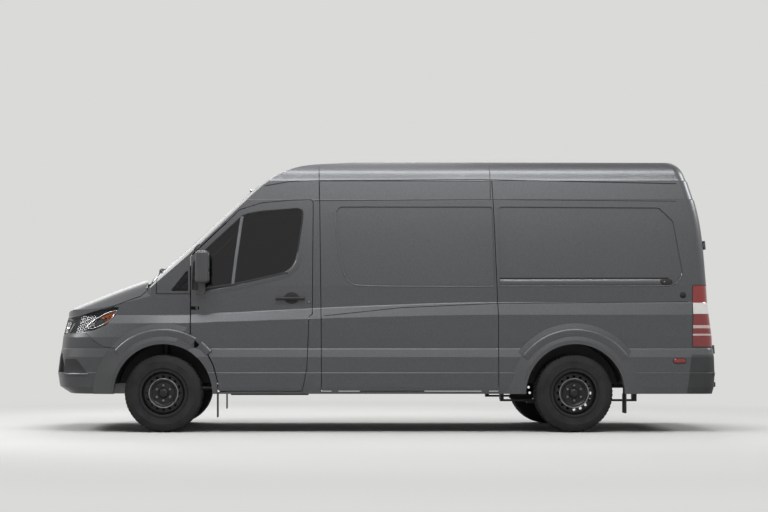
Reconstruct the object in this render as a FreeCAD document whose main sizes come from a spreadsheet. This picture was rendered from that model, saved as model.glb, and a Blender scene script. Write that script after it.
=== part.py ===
"""A full-size panel van with two sliding side doors, as separate pieces in one frame.

+X points forward, +Y to the van's left and +Z up. The origin lies on the ground under the middle of the van's
length. Sizes are millimetres. The sheet holds the sizes that drive the van, and the rest is worked out from them.
"""

import FreeCAD, Part
import math
import os
import re
import Sketcher

Vector = FreeCAD.Vector
ORIGIN = Vector(0, 0, 0)
ACROSS = Vector(0, 1, 0)

SIZES = [
    ("wheelbase", 3665, "front axle to rear axle"),
    ("front_overhang", 1030, "front axle to the foremost point of the bumper"),
    ("rear_overhang", 1344, "rear axle to the end of the rear step"),
    ("tail_overhang", 1290, "rear axle to the rear face of the body at bumper height"),
    ("half_width", 992, "middle of the van to the widest crease of its side"),
    ("roof_height", 2462, "ground to the crown of the roof"),
    ("thick_wall", 60, "thickness of the doors, side walls and roof with their frames"),
    ("thin_wall", 10, "thickness of the wings, bumper and grille panels"),
    ("door_gap", 6, "gap round a door that opens"),
    ("swing_gap", 10, "gap ahead of a cab door, whose front edge swings in"),
    ("swing_room", 27, "radius kept clear about a cab door's hinge line"),
    ("cowl_drop", 28, "how far the tray under the wipers lies below the bonnet"),
    ("sill_height", 345, "ground to the bottom edge of the sill"),
    ("waist_height", 1310, "ground to where the upper side starts to lean in"),
    ("gutter_height", 2088, "ground to the seam over the cab door"),
    ("roof_seam_height", 2257, "ground to the seam between the body side and the roof"),
    ("door_bottom", 372, "ground to the bottom edge of the side doors"),
    ("arch_radius", 438, "radius of the wheel arch openings"),
    ("flare_reach", 1010, "middle of the van to the face of the flares"),
    ("floor_height", 575, "ground to the top of the load floor"),
    ("cab_floor_height", 640, "ground to the top of the cab floor"),
    ("rail_bottom", 430, "ground to the underside of the chassis rails"),
    ("rail_inner", 460, "middle of the van to the inner face of a chassis rail"),
    ("rail_outer", 530, "middle of the van to the outer face of a chassis rail"),
    ("axle_height", 351, "ground to the wheel centres"),
    ("wheel_track", 1710, "tyre centre to tyre centre"),
    ("tyre_radius", 351, "wheel centre to the tread"),
    ("tyre_width", 235, "width of a tyre"),
    ("rim_radius", 212, "wheel centre to the edge of the rim"),
    ("bead_radius", 203, "wheel centre to the seat of the tyre"),
    ("barrel_radius", 186, "wheel centre to the inside of the rim's barrel"),
    ("hub_face", 60, "tyre centre out to the face that the rim is bolted to"),
    ("bolt_circle", 65, "wheel centre to a wheel nut"),
    ("kingpin", 840, "middle of the van to the pivot that a front wheel steers about"),
    ("pin_radius", 10, "radius of the steering pivot pins"),
    ("bore_clearance", 0.3, "play of a pin in its bore"),
    ("door_hinge_out", 946, "middle of the van to the cab door's hinge line"),
    ("door_hinge_back", 297, "front axle back to the cab door's hinge line"),
    ("rear_hinge_out", 816, "middle of the van to the rear door's hinge line"),
    ("rear_hinge_back", 1271, "rear axle back to the foot of the rear door's hinge line"),
    ("bonnet_hinge_ahead", 146, "front axle forward to the bonnet's hinge line"),
    ("bonnet_hinge_height", 1300, "ground to the bonnet's hinge line"),
    ("hem", 12, "how far a door's box stops short of the edge of its outer sheet"),
    ("step_width", 1240, "width of the rear step"),
]

# Outlines of the body at several heights: the size that the height is measured from and the rise above it, how
# much narrower than the widest crease, nose ahead of the front axle, tail behind the rear axle, roundness of the
# nose in plan, and the fall of the level towards the front.
LOWER = [("sill_height", 0, 24, 918, 1270, 0, 0), ("sill_height", 60, 10, 1010, 1284, 0, 0),
         ("sill_height", 185, 0, 1030, 1290, 0, 0), ("sill_height", 193, 8, 1029, 1290, 0, 0),
         ("sill_height", 328, 6, 1012, 1284, 0, 0), ("sill_height", 397, 24, 998, 1278, 0, 0),
         ("sill_height", 405, 30, 996, 1276, 0.03, 0), ("waist_height", -460, 24, 985, 1270, 0.1, 0)]
BAND = [("waist_height", -460, 24, 985, 1270, 0.1, 0), ("waist_height", -260, 18, 958, 1242, 0.5, 75),
        ("waist_height", -155, 44, 943, 1235, 0.6, 115), ("waist_height", -147, 49, 943, 1235, 0.6, 115),
        ("waist_height", 0, 49, 928, 1225, 0.8, 0)]
UPPER = [("waist_height", 0, 49, 928, 1225, 0.8, 0), ("waist_height", 190, 59, 928, 1212, 0.95, 0),
         ("waist_height", 490, 80, 928, 1185, 1, 0), ("gutter_height", -8, 108, 928, 1130, 1, 0)]
GUTTER = [("gutter_height", -8, 108, 928, 1130, 1, 0), ("gutter_height", 0, 116, 928, 1124, 1, 0),
          ("roof_seam_height", -8, 140, 928, 1076, 1, 0), ("roof_seam_height", 0, 148, 928, 1068, 1, 0)]
ROOF = [("roof_seam_height", 0, 148, 928, 1068, 1, 0), ("roof_seam_height", 83, 170, 928, 1036, 1, 0),
        ("roof_seam_height", 143, 208, 928, 992, 1, 0), ("roof_seam_height", 183, 277, 928, 928, 1, 0),
        ("roof_seam_height", 213, 392, 928, 838, 1, 0)]
LEVELS = [(LOWER, True), (BAND, True), (UPPER, False), (GUTTER, True), (ROOF, False)]
NOSE_LOW = [(0, 0), (.17, .000), (.33, .002), (.48, .006), (.60, .012), (.71, .024), (.80, .047), (.867, .085),
            (.915, .14), (.95, .24), (.978, .42), (.995, .72), (1, 1)]
NOSE_HIGH = [(0, 0), (.17, .006), (.33, .020), (.48, .045), (.58, .072), (.67, .105), (.76, .155), (.84, .22),
             (.905, .31), (.953, .43), (.983, .6), (.996, .80), (1, 1)]

# Sections across the top of the van: distance from the middle, how far the windscreen, the bonnet and the roof
# have drawn back or dropped there.
STATIONS = [(0, 0, -12, 0), (330, 12, -6, 5), (600, 48, 12, 19), (740, 80, 55, 27), (830, 112, 112, 33),
            (930, 165, 190, 40), (1060, 240, 300, 50)]
BONNET_LINE = [(1188, 880), (1028, 990), (924, 1062), (850, 1116), (713, 1178), (529, 1250), (345, 1319),
               (118, 1395)]
SCREEN_LINE = [(168, 1295, 1), (70, 1383, 1), (-137, 1563, 1), (-317, 1725, 1), (-497, 1890, 1), (-677, 2052, .95),
               (-875, 2215, .85), (-1082, 2338, .6), (-1282, 2408, .3), (-1482, 2438, .1)]

# Panel edges as seen from the side: along the van from the front axle, and height.
DOOR_EDGE = [(-246, 1502), (-246, 851), (-299, 807), (-397, 709), (-451, 602), (-487, 468), (-495, 372),
             (-1235, 372), (-1276, 566), (-1284, 744), (-1295, 1039), (-1325, 1056), (-1334, 2060), (-1318, 2079),
             (-1128, 2074), (-878, 2050), (-680, 1989), (-546, 1855), (-402, 1720), (-246, 1570)]
DOOR_WINDOW = [(-251, 1272), (-262, 1520), (-403, 1666), (-547, 1800), (-700, 1940), (-760, 1962), (-878, 1983),
               (-1200, 2008), (-1244, 1990), (-1250, 1950), (-1244, 1880), (-1214, 1680), (-1194, 1570),
               (-1172, 1508), (-1134, 1456), (-1076, 1420), (-998, 1398), (-824, 1360), (-636, 1320), (-323, 1272)]
QUARTER_WINDOW = [(-60, 1262), (-220, 1462), (-220, 1262)]
SLIDER_EDGE = [(-1396, 2249), (-1409, 1039), (-1414, 372), (-2983, 372), (-2983, 1039), (-2971, 1351), (-2944, 2099),
               (-2937, 2249)]
BONNET_SHUT = [(66, 1381), (111, 1327), (156, 1273), (210, 1220), (308, 1188), (461, 1130), (623, 1085),
               (757, 1049), (883, 1022), (1100, 1005)]
BUMPER_TOP = [(300, 749), (414, 749), (539, 762), (637, 825), (690, 882), (829, 880), (1100, 876)]
LAMP_EDGE = [(401, 1117), (440, 1040), (515, 959), (623, 913), (760, 889), (1100, 885)]
FRONT_RECESS = [(-1575, 2019), (-1540, 1970), (-1558, 1764), (-1602, 1451), (-1665, 1352), (-1754, 1312),
                (-2960, 1312), (-2940, 2019)]
REAR_RECESS = [(-2989, 2019), (-4430, 2010), (-4555, 1889), (-4635, 1424), (-4572, 1312), (-3005, 1312)]
WING_REAR = [(-500, 300), (-500, 600), (-420, 760), (-300, 900), (-250, 900)]
REAR_SEAM = [(-4572, 2600), (-4577, 2383), (-4631, 1944), (-4694, 1523), (-4720, 1317), (-4711, 762), (-4667, 395),
             (-4660, 300)]


# Helpers that bind sizes to the sheet

def make_sheet(doc):
    sheet = doc.addObject("Spreadsheet::Sheet", "Sizes")
    for row, (name, value, note) in enumerate(SIZES, start=1):
        sheet.set("A%d" % row, name)
        sheet.set("B%d" % row, str(value))
        sheet.set("C%d" % row, note)
        sheet.setAlias("B%d" % row, name)
    doc.recompute()
    return sheet


def read_sizes(sheet):
    return {name: float(sheet.get(name)) for name, _, _ in SIZES}


FRONT = "((wheelbase + front_overhang + rear_overhang) / 2 - front_overhang)"
REAR = "(%s - wheelbase)" % FRONT
NAMES = set(name for name, _, _ in SIZES)


def bound(text):
    def swap(match):
        word = match.group(0)
        return "Sizes." + word if word in NAMES else word
    return re.sub(r"[a-z_]+", swap, str(text))


def block(doc, x, y, z):
    box = doc.addObject("Part::Box", "block")
    for key, (low, high) in (("Length", x), ("Width", y), ("Height", z)):
        box.setExpression(key, bound("(%s) - (%s)" % (high, low)))
    for key, (low, high) in (("x", x), ("y", y), ("z", z)):
        box.setExpression("Placement.Base." + key, bound(low))
    return box


TURNS = {"x": (Vector(0, 1, 0), 90), "y": (Vector(1, 0, 0), -90), "z": (Vector(0, 0, 1), 0)}


def rod(doc, axis, radius, length, x, y, z):
    cylinder = doc.addObject("Part::Cylinder", "rod")
    cylinder.setExpression("Radius", bound(radius))
    cylinder.setExpression("Height", bound(length))
    turn, angle = TURNS[axis]
    cylinder.Placement = FreeCAD.Placement(ORIGIN, FreeCAD.Rotation(turn, angle))
    for key, value in (("x", x), ("y", y), ("z", z)):
        cylinder.setExpression("Placement.Base." + key, bound(value))
    return cylinder


def joined(doc, pieces):
    if len(pieces) == 1:
        return pieces[0]
    fuse = doc.addObject("Part::MultiFuse", "joined")
    fuse.Shapes = pieces
    return fuse


def carved(doc, base, tools):
    cut = doc.addObject("Part::Cut", "carved")
    cut.Base = base
    cut.Tool = joined(doc, tools)
    return cut


def other_side(doc, source):
    mirror = doc.addObject("Part::Mirroring", "mirrored")
    mirror.Source = source
    mirror.Normal = ACROSS
    return mirror


def both_sides(doc, pieces):
    left = joined(doc, pieces)
    return [left, other_side(doc, left)]


def feature(doc, shape):
    thing = doc.addObject("Part::Feature", "shaped")
    thing.Shape = shape
    return thing


def origin_part(body, role):
    for part in body.Origin.OriginFeatures:
        if part.Role == role:
            return part
    raise ValueError(role)


def pin_point(sketch, edge, end, across, up):
    for kind, value, axis in (("DistanceX", across, -2), ("DistanceY", up, -1)):
        if value == "0":
            sketch.addConstraint(Sketcher.Constraint("PointOnObject", edge, end, axis))
            continue
        index = sketch.addConstraint(Sketcher.Constraint(kind, -1, 1, edge, end, 1.0))
        sketch.setExpression("Constraints[%d]" % index, bound(value))


def outline_sketch(body, role, points, guess):
    sketch = body.newObject("Sketcher::SketchObject", "outline")
    sketch.AttachmentSupport = [(origin_part(body, role), "")]
    sketch.MapMode = "FlatFace"
    spots = [Vector(x, y, 0) for x, y in guess]
    lines = [Part.LineSegment(a, b) for a, b in zip(spots, spots[1:] + spots[:1])]
    sketch.addGeometry(lines, False)
    count = len(lines)
    for i in range(count):
        sketch.addConstraint(Sketcher.Constraint("Coincident", i, 2, (i + 1) % count, 1))
    for i, (across, up) in enumerate(points):
        pin_point(sketch, i, 1, across, up)
    return sketch


# The outer skin of the body

def places(s):
    s["front"] = (s["wheelbase"] + s["front_overhang"] + s["rear_overhang"]) / 2 - s["front_overhang"]
    s["rear"] = s["front"] - s["wheelbase"]
    return s


def spline(points, start=None, end=None):
    curve = Part.BSplineCurve()
    if start is None:
        curve.interpolate(Points=points)
    else:
        curve.interpolate(Points=points, InitialTangent=start, FinalTangent=end)
    return curve.toShape()


def mirrored(edges):
    return [edge.mirror(ORIGIN, ACROSS) for edge in edges]


def plan_outline(s, height, width, nose, tail, roundness, inset, fall):
    """One closed outline of the body at one height: rear face, rear corner, side and nose, and the same again."""
    bend = max(95.0 - inset, 12.0)
    bulge = 28.0
    width -= inset
    nose += s["front_overhang"] - 1030 + s["front"] - inset
    back = s["rear"] - tail - (s["tail_overhang"] - 1290) + inset
    start = s["front"] - 607

    def spot(x, y):
        if not fall:
            return Vector(x, y, height)
        share = min(max((x - s["rear"] - 752) / 2700.0, 0.0), 1.0)
        return Vector(x, y, height - fall * share ** 1.4)

    corner = back + bulge
    lean = bend * (1 - math.sqrt(0.5))
    rear = spline([spot(back, 0), spot(back + bulge * 0.26, (width - bend) * 0.5), spot(corner, width - bend)])
    turn = Part.Arc(spot(corner, width - bend), spot(corner + lean, width - lean), spot(corner + bend, width))
    if fall:
        steps = [corner + bend + (start - corner - bend) * i / 8.0 for i in range(9)]
        side = spline([spot(x, width) for x in steps])
    else:
        side = Part.makeLine(spot(corner + bend, width), spot(start, width))
    points = []
    for (a, b), (c, d) in zip(NOSE_LOW, NOSE_HIGH):
        along = a * (1 - roundness) + c * roundness
        lost = b * (1 - roundness) + d * roundness
        points.append(spot(start + (nose - start) * along, width * (1 - lost)))
    front = spline(points, Vector(1, 0, 0), Vector(0, -1, 0))
    half = [rear, turn.toShape(), side, front]
    return Part.Wire(half + mirrored(half)[::-1])


def level_outlines(s, rows, inset):
    outlines = []
    for size, rise, narrower, nose, tail, roundness, fall in rows:
        width = s["half_width"] - narrower
        outlines.append(plan_outline(s, s[size] + rise, width, nose, tail, roundness, inset, fall))
    return outlines


def side_loft(s, rows, inset, ruled):
    return Part.makeLoft(level_outlines(s, rows, inset), True, ruled)


def side_block(s, inset):
    """The walls of all levels are sewn together and closed with a flat bottom and top."""
    faces = []
    ends = []
    for rows, ruled in LEVELS:
        outlines = level_outlines(s, rows, inset)
        faces += Part.makeLoft(outlines, False, ruled).Faces
        ends += [outlines[0], outlines[-1]]
    walls = Part.makeCompound(faces + [Part.Face(ends[0]), Part.Face(ends[-1])])
    walls.sewShape()
    return Part.makeSolid(walls.Shells[0])


def top_loft(s, inset, section):
    wires = []
    for row in [(-row[0],) + row[1:] for row in STATIONS[:0:-1]] + STATIONS:
        wires.append(section(*row))
    return Part.makeLoft(wires, True, False)


def closed_section(curve, corners):
    first = curve.Vertexes[0].Point
    last = curve.Vertexes[-1].Point
    stops = [last] + corners + [first]
    return Part.Wire([curve] + [Part.makeLine(a, b) for a, b in zip(stops, stops[1:])])


def bonnet_block(s, inset):
    front = s["front"]
    lift = s["waist_height"] - 1310

    def section(y, screen_back, drop, roof_drop):
        points = [Vector(front + x - inset, y, z + lift - drop - inset) for x, z in BONNET_LINE]
        back = front - 760
        corners = [Vector(back, y, points[-1].z + 80), Vector(back, y, 200), Vector(points[0].x, y, 200)]
        return closed_section(spline(points), corners)

    return top_loft(s, inset, section)


def cab_block(s, inset):
    front = s["front"]
    lift = s["roof_height"] - 2462

    def section(y, screen_back, drop, roof_drop):
        points = []
        for x, z, share in SCREEN_LINE:
            points.append(Vector(front + x + 100 - screen_back * share - inset * 0.75, y,
                                 z + lift - inset * 0.75 - roof_drop * (1 - share)))
        points.append(Vector(front - 1712, y, s["roof_height"] - roof_drop - inset))
        back = s["rear"] - 1500
        corners = [Vector(back, y, points[-1].z - 10), Vector(back, y, 200), Vector(points[0].x, y, 200)]
        return closed_section(spline(points), corners)

    return top_loft(s, inset, section)


def arch_cylinder(s, axle, radius, inner, outer):
    centre = Vector(s[axle], inner, s["axle_height"])
    return Part.makeCylinder(radius, outer - inner, centre, ACROSS)


# How far out a flare may reach, seen from above: it fades out before the cab door's front edge.
FLARE_PLAN = {"front": [(1000, 700), (1000, 1100), (-110, 1010), (-250, 962), (-1000, 962), (-1000, 700)],
              "rear": [(1000, 700), (1000, 1100), (-1000, 1100), (-1000, 700)]}


def flare(s, axle):
    """A lip round the wheel arch and a slope from it down to the body side."""
    inner = s["arch_radius"]
    reach = s["flare_reach"]
    points = [(inner, reach - 120), (inner, reach), (inner + 34, reach), (inner + 185, reach - 36),
              (inner + 185, reach - 120), (inner, reach - 120)]
    wire = Part.makePolygon([Vector(s[axle], y, s["axle_height"] + r) for r, y in points])
    ring = Part.Face(wire).revolve(Vector(s[axle], 0, s["axle_height"]), ACROSS, 360)
    plan = [(s[axle] + x, y) for x, y in FLARE_PLAN[axle]]
    return ring.common(plan_prism(plan, s["sill_height"], 2000))


def left_skin(s, inset):
    """The left half of the body as one solid, drawn in by the inset."""
    half = Part.makeBox(8000, 1300, 3000, Vector(-4000, 0, 0))
    sides = side_block(s, inset).common(half)
    top = bonnet_block(s, inset).common(half).fuse(cab_block(s, inset).common(half))
    return sides.common(top)


# Cutting shapes

def side_prism(s, points, low=0, high=1400, grow=0.0):
    """A prism across the van from a closed outline seen from the side."""
    wire = Part.makePolygon([Vector(s["front"] + x, low, z) for x, z in points + points[:1]])
    if grow:
        wire = wire.makeOffset2D(grow, 2)
    return Part.Face(wire).extrude(Vector(0, high - low, 0))


def rounded_prism(s, points, radius, low=0, high=1400, grow=0.0):
    prism = side_prism(s, points, low, high, grow)
    edges = [e for e in prism.Edges if abs(e.tangentAt(e.FirstParameter).y) > 0.99]
    return prism.makeFillet(radius, edges)


def front_prism(points, x_low, x_high):
    """A prism along the van from a closed outline seen from the front."""
    wire = Part.makePolygon([Vector(x_low, y, z) for y, z in points + points[:1]])
    return Part.Face(wire).extrude(Vector(x_high - x_low, 0, 0))


def plan_prism(points, z_low, z_high):
    wire = Part.makePolygon([Vector(x, y, z_low) for x, y in points + points[:1]])
    return Part.Face(wire).extrude(Vector(0, 0, z_high - z_low))


def cuboid(x, y, z):
    return Part.makeBox(x[1] - x[0], y[1] - y[0], z[1] - z[0], Vector(x[0], y[0], z[0]))


def largest(shape):
    return max(shape.Solids, key=lambda solid: solid.Volume)


def above_line(s, points, low=-1400, high=1400):
    """Everything above a line seen from the side."""
    far = [(points[-1][0], 3000), (points[0][0], 3000)]
    return side_prism(s, points + far, low, high)


def shifted(points, rise):
    return [(x, z + rise) for x, z in points]


# The body panels

class Shell:
    """The left half of the walls that every panel is cut from: thick ones with their frames, and thin ones."""

    def __init__(self, s):
        self.inside = left_skin(s, s["thick_wall"])
        self.lining = left_skin(s, s["thin_wall"])
        self.outer = left_skin(s, 0).fuse([flare(s, "front"), flare(s, "rear")])
        wheels = [arch_cylinder(s, axle, s["arch_radius"], 600, 1200) for axle in ("front", "rear")]
        self.thick = self.outer.cut([self.inside] + wheels)
        self.thin = self.outer.cut([self.lining] + wheels)
        nose = cuboid((s["front"] + 500, s["front"] + 1100), (0, 1000), (400, 1100))
        self.nose = self.thick.common(nose)
        self.deep_nose = self.lining.common(nose).cut(self.inside)
        self.recess = side_loft(s, UPPER, 11.0, False)
        self.glass = self.glass_layer(s)

    def glass_layer(self, s):
        outer = self.window_solid(s, 7.0)
        inner = self.window_solid(s, 12.0)
        return outer.cut(inner).common(cuboid((-4000, 4000), (0, 1300), (1100, 2100)))

    def window_solid(self, s, inset):
        return side_loft(s, BAND, inset, True).fuse(side_loft(s, UPPER, inset, False))


def whole(left):
    """A piece that crosses the middle: its left half joined to the mirrored half."""
    return largest(left.fuse(left.mirror(ORIGIN, ACROSS)).removeSplitter())


# Hinges. Each hinge line leans with the panel that it carries.

CAB_HINGE_LEAN = math.degrees(math.atan2(40, 755))
REAR_HINGE_LEAN = math.degrees(math.atan2(84, 960))


def cab_hinge_line(s):
    """The cab door's hinge line leans in towards the roof, as the body side does."""
    base = Vector(s["front"] - s["door_hinge_back"], s["door_hinge_out"], CAB_HINGE_LOW)
    return FreeCAD.Placement(base, FreeCAD.Rotation(Vector(1, 0, 0), CAB_HINGE_LEAN))


def rear_hinge_line(s):
    """The rear door's hinge line leans forward towards the roof, as the rear face does."""
    base = Vector(s["rear"] - s["rear_hinge_back"], s["rear_hinge_out"], REAR_HINGE_LOW)
    return FreeCAD.Placement(base, FreeCAD.Rotation(Vector(0, 1, 0), REAR_HINGE_LEAN))


CAB_HINGE_LOW = 865
CAB_HINGE_STEPS = (0, 245)
REAR_HINGE_LOW = 740
REAR_HINGE_STEPS = (0, 940)


def on_line(line, shape):
    shape.Placement = line.multiply(shape.Placement)
    return shape


def cab_door(s, shell):
    door = hemmed(shell, side_prism(s, DOOR_EDGE), side_prism(s, DOOR_EDGE, grow=-s["hem"]))
    door = door.cut(rounded_prism(s, DOOR_WINDOW, 14))
    line = cab_hinge_line(s)
    play = s["bore_clearance"]
    for step in CAB_HINGE_STEPS:
        slot = cuboid((-20, 80), (-70, 13.5), (step - 15 - play, step + 15 + play))
        pin = Part.makeCylinder(6, 32, Vector(0, 0, step - 16))
        door = door.cut(on_line(line, slot)).fuse(on_line(line, pin))
    return largest(door)


def hemmed(shell, edge, inner_edge):
    """A door: its outer sheet reaches the edge, and the box behind it stops short, as a folded hem does."""
    return shell.thin.common(edge).fuse(shell.thick.common(inner_edge))


def swing_room(s):
    """Room for the edge of a cab door's sheet where it crosses the hinge line."""
    return on_line(cab_hinge_line(s), Part.makeCylinder(s["swing_room"], 930, Vector(0, 0, -110)))


def cab_door_gap(s):
    """The opening round a cab door, wider ahead of it."""
    wide = side_prism(s, DOOR_EDGE, grow=s["swing_gap"])
    ahead = cuboid((s["front"] - 560, s["front"]), (-1400, 1400), (0, 3000))
    return side_prism(s, DOOR_EDGE, grow=s["door_gap"]).fuse(wide.common(ahead))


def cab_hinge_arms(s):
    line = cab_hinge_line(s)
    arms = []
    for step in CAB_HINGE_STEPS:
        plate = cuboid((-11, 11), (-120, 0), (step - 15, step + 15))
        eye = Part.makeCylinder(11, 30, Vector(0, 0, step - 15))
        bore = Part.makeCylinder(6 + s["bore_clearance"], 40, Vector(0, 0, step - 20))
        arms.append(on_line(line, plate.fuse(eye).cut(bore)))
    return arms


def cab_glass(s, shell):
    return largest(shell.glass.common(rounded_prism(s, DOOR_WINDOW, 14)))


def quarter_glass(s, shell):
    return largest(shell.glass.common(rounded_prism(s, QUARTER_WINDOW, 10)))


def sliding_door(s, shell):
    door = shell.thick.common(side_prism(s, SLIDER_EDGE))
    door = door.cut(rounded_prism(s, FRONT_RECESS, 30).cut(shell.recess))
    gap = s["door_gap"]
    low = s["door_bottom"]
    front = s["front"]
    guides = [cuboid((front - 1560, front - 1500), (0, 1300), (low - gap, low + 1)),
              cuboid((front - 2900, front - 2840), (0, 1300), (low - gap, low + 1))]
    for guide in guides:
        door = door.fuse(shell.thick.common(guide))
    return largest(door)


def side_panel(s, shell):
    gap = s["door_gap"]
    front = s["front"]
    seam = s["roof_seam_height"] - 4
    panel = shell.thick.cut(cuboid((-4000, 4000), (-10, 1300), (seam, 3000)))
    header = cuboid((front - 1300, 4000), (-10, 690), (2120, 3000))
    ahead = side_prism(s, WING_REAR + [(-240, 1240), (62, 1240), (62, 1381), (40, 1500), (40, 3000), (1400, 3000),
                                       (1400, 300)])
    doors = [cab_door_gap(s), side_prism(s, SLIDER_EDGE, grow=gap), swing_room(s)]
    relief = cuboid((front - 250, front - 178), (600, 1300), (1200, 1660)).common(shell.lining)
    panel = panel.cut([header, ahead, tail_zone(s), windscreen_prism(s), relief,
                       rounded_prism(s, QUARTER_WINDOW, 10)] + doors)
    panel = panel.cut(rounded_prism(s, REAR_RECESS, 40).cut(shell.recess))
    return largest(panel)


SCREEN_EDGE = [(822, 1322), (800, 1480), (752, 1800), (700, 2100), (672, 2170), (620, 2196), (300, 2212)]
SCREEN_FOOT = [(822, 1322), (700, 1360), (500, 1390), (250, 1412), (0, 1418)]


def windscreen_prism(s):
    left = SCREEN_FOOT[::-1] + SCREEN_EDGE[1:]
    right = [(-y, z) for y, z in left[::-1] if y]
    return front_prism(left + right, s["front"] - 1150, s["front"] + 600)


def windscreen(s, shell):
    pane = cab_block(s, 7.0).cut(cab_block(s, 14.0)).common(windscreen_prism(s))
    return largest(pane)


def cowl_line(s, ahead):
    """Where the bonnet ends and the panel under the wipers starts, seen from above."""
    front = s["front"]
    side = [(150, 1200), (150, 720), (185, 520), (228, 260), (248, 0)]
    left = [(front + x + ahead, y) for x, y in side]
    right = [(x, -y) for x, y in left[::-1][1:]]
    return left + right


def bonnet(s, shell):
    above = above_line(s, BONNET_SHUT)
    ahead = plan_prism(cowl_line(s, 3) + [(s["front"] + 2000, -1200), (s["front"] + 2000, 1200)], 900, 1600)
    lid = largest(shell.thin.common(above).common(ahead))
    line = bonnet_hinge(s)
    arm = cuboid((line.x - 11, line.x + 130), (656, 676), (line.z - 11, line.z + 80)).common(shell.lining)
    arm = arm.cut(cuboid((line.x - 40, line.x + 60), (655, 677), (line.z + 11, line.z + 200)))
    eye = Part.makeCylinder(11, 20, Vector(line.x, 656, line.z), ACROSS)
    bore = Part.makeCylinder(6 + s["bore_clearance"], 60, Vector(line.x, 636, line.z), ACROSS)
    return whole(lid.fuse(arm.fuse(eye).cut(bore)))


def bonnet_hinge(s):
    return Vector(s["front"] + s["bonnet_hinge_ahead"], 0, s["bonnet_hinge_height"])




def bonnet_brackets(s):
    line = bonnet_hinge(s)
    back = s["front"] - 1
    cheeks = [cuboid((back, line.x + 11), (low, low + 12), (line.z - 110, line.z + 11)) for low in (643.7, 676.3)]
    return cheeks + [Part.makeCylinder(6, 44.6, Vector(line.x, 643.7, line.z), ACROSS)]


def roof_panel(s, shell):
    seam = s["roof_seam_height"] - 4
    cap = cuboid((-4000, 4000), (0, 1200), (seam, 3000))
    header = cuboid((s["front"] - 1300, 4000), (0, 690), (2120, seam))
    roof = shell.thick.common(cap.fuse(header)).cut([windscreen_prism(s), tail_zone(s)])
    return whole(roof)


def wing(s, shell):
    gap = s["door_gap"]
    zone = side_prism(s, WING_REAR + [(-240, 1234), (68, 1234), (68, 1600), (1400, 1600), (1400, 300)], 700)
    zone = zone.cut([above_line(s, shifted([(50, 1400)] + BONNET_SHUT, -gap - 2)), cab_door_gap(s), swing_room(s),
                     windscreen_prism(s), below_bumper_top(s, 4), lamp_zone(s)])
    return largest(shell.thin.common(zone))


def below_bumper_top(s, rise):
    points = [(x, z + rise) for x, z in BUMPER_TOP]
    return side_prism(s, points + [(1400, 880 + rise), (1400, 200), (300, 200)], -1400, 1400)


def lamp_zone(s):
    top = shifted(BONNET_SHUT[5:], -s["door_gap"])
    return side_prism(s, LAMP_EDGE + [(1100, 999)] + top[::-1], 520, 1300)


def headlamp(s, shell):
    return largest(shell.thin.common(lamp_zone(s)))


GRILLE_EDGE = [(0, 745), (400, 745), (446, 878), (520, 884), (520, 1100), (0, 1100)]
GRILLE_HOLE = [(0, 768), (384, 768), (426, 880), (490, 908), (490, 1100), (0, 1100)]
MOUTH_EDGE = [(0, 545), (520, 545), (560, 700), (0, 700)]
POCKET_EDGE = [(650, 535), (870, 535), (800, 640), (740, 700), (650, 712)]
POCKET_WALL = [(640, 525), (890, 525), (813, 646), (747, 711), (640, 724)]


def nose_prism(s, points):
    return front_prism(points, s["front"] + 500, s["front"] + 1400)


def under_shut_line(s, drop):
    return side_prism(s, shifted(BONNET_SHUT[5:], -drop) + [(1100, 400), (461, 400)], 0, 900)


def stacked(s, x, y, heights, tall):
    bars = [cuboid(x, y, (z, z + tall)) for z in heights]
    return bars[0].fuse(bars[1:])


def grille(s, shell):
    """The frame between the lamps, with three wide bars and a bare round boss, in line with the nose."""
    x = (s["front"] + 600, s["front"] + 1400)
    zone = nose_prism(s, GRILLE_EDGE).common(under_shut_line(s, s["door_gap"]))
    hole = nose_prism(s, GRILLE_HOLE).common(under_shut_line(s, s["door_gap"] + 22))
    bars = stacked(s, x, (0, 505), (800, 861, 922), 26).common(zone)
    boss = Part.makeCylinder(72, 800, Vector(x[0], 0, 886), Vector(1, 0, 0))
    return whole(shell.thin.common(zone).cut(hole).fuse([shell.nose.common(bars), shell.nose.common(boss)]))


def intake(s, shell):
    """Behind the lower opening of the bumper: a lattice of bars."""
    x = (s["front"] + 600, s["front"] + 1400)
    bars = stacked(s, x, (0, 572), (570, 604, 638, 672), 9)
    posts = [cuboid(x, (y - 5, y + 5), (546, 707)) for y in (0, 180, 360, 535)]
    return whole(bars.fuse(posts).common(shell.deep_nose))


def corner_pocket(s, shell):
    """The deep pocket in each corner of the bumper, as a pan fixed behind its skin."""
    floor = shell.lining.translated(Vector(-26, -14, 0))
    hollow = nose_prism(s, POCKET_EDGE).cut(floor)
    return largest(nose_prism(s, POCKET_WALL).common(shell.deep_nose).cut(hollow))


def front_bumper(s, shell):
    band = shell.thin.common(below_bumper_top(s, 0))
    return whole(band.cut([nose_prism(s, edge) for edge in (GRILLE_EDGE, MOUTH_EDGE, POCKET_EDGE)]))


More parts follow.
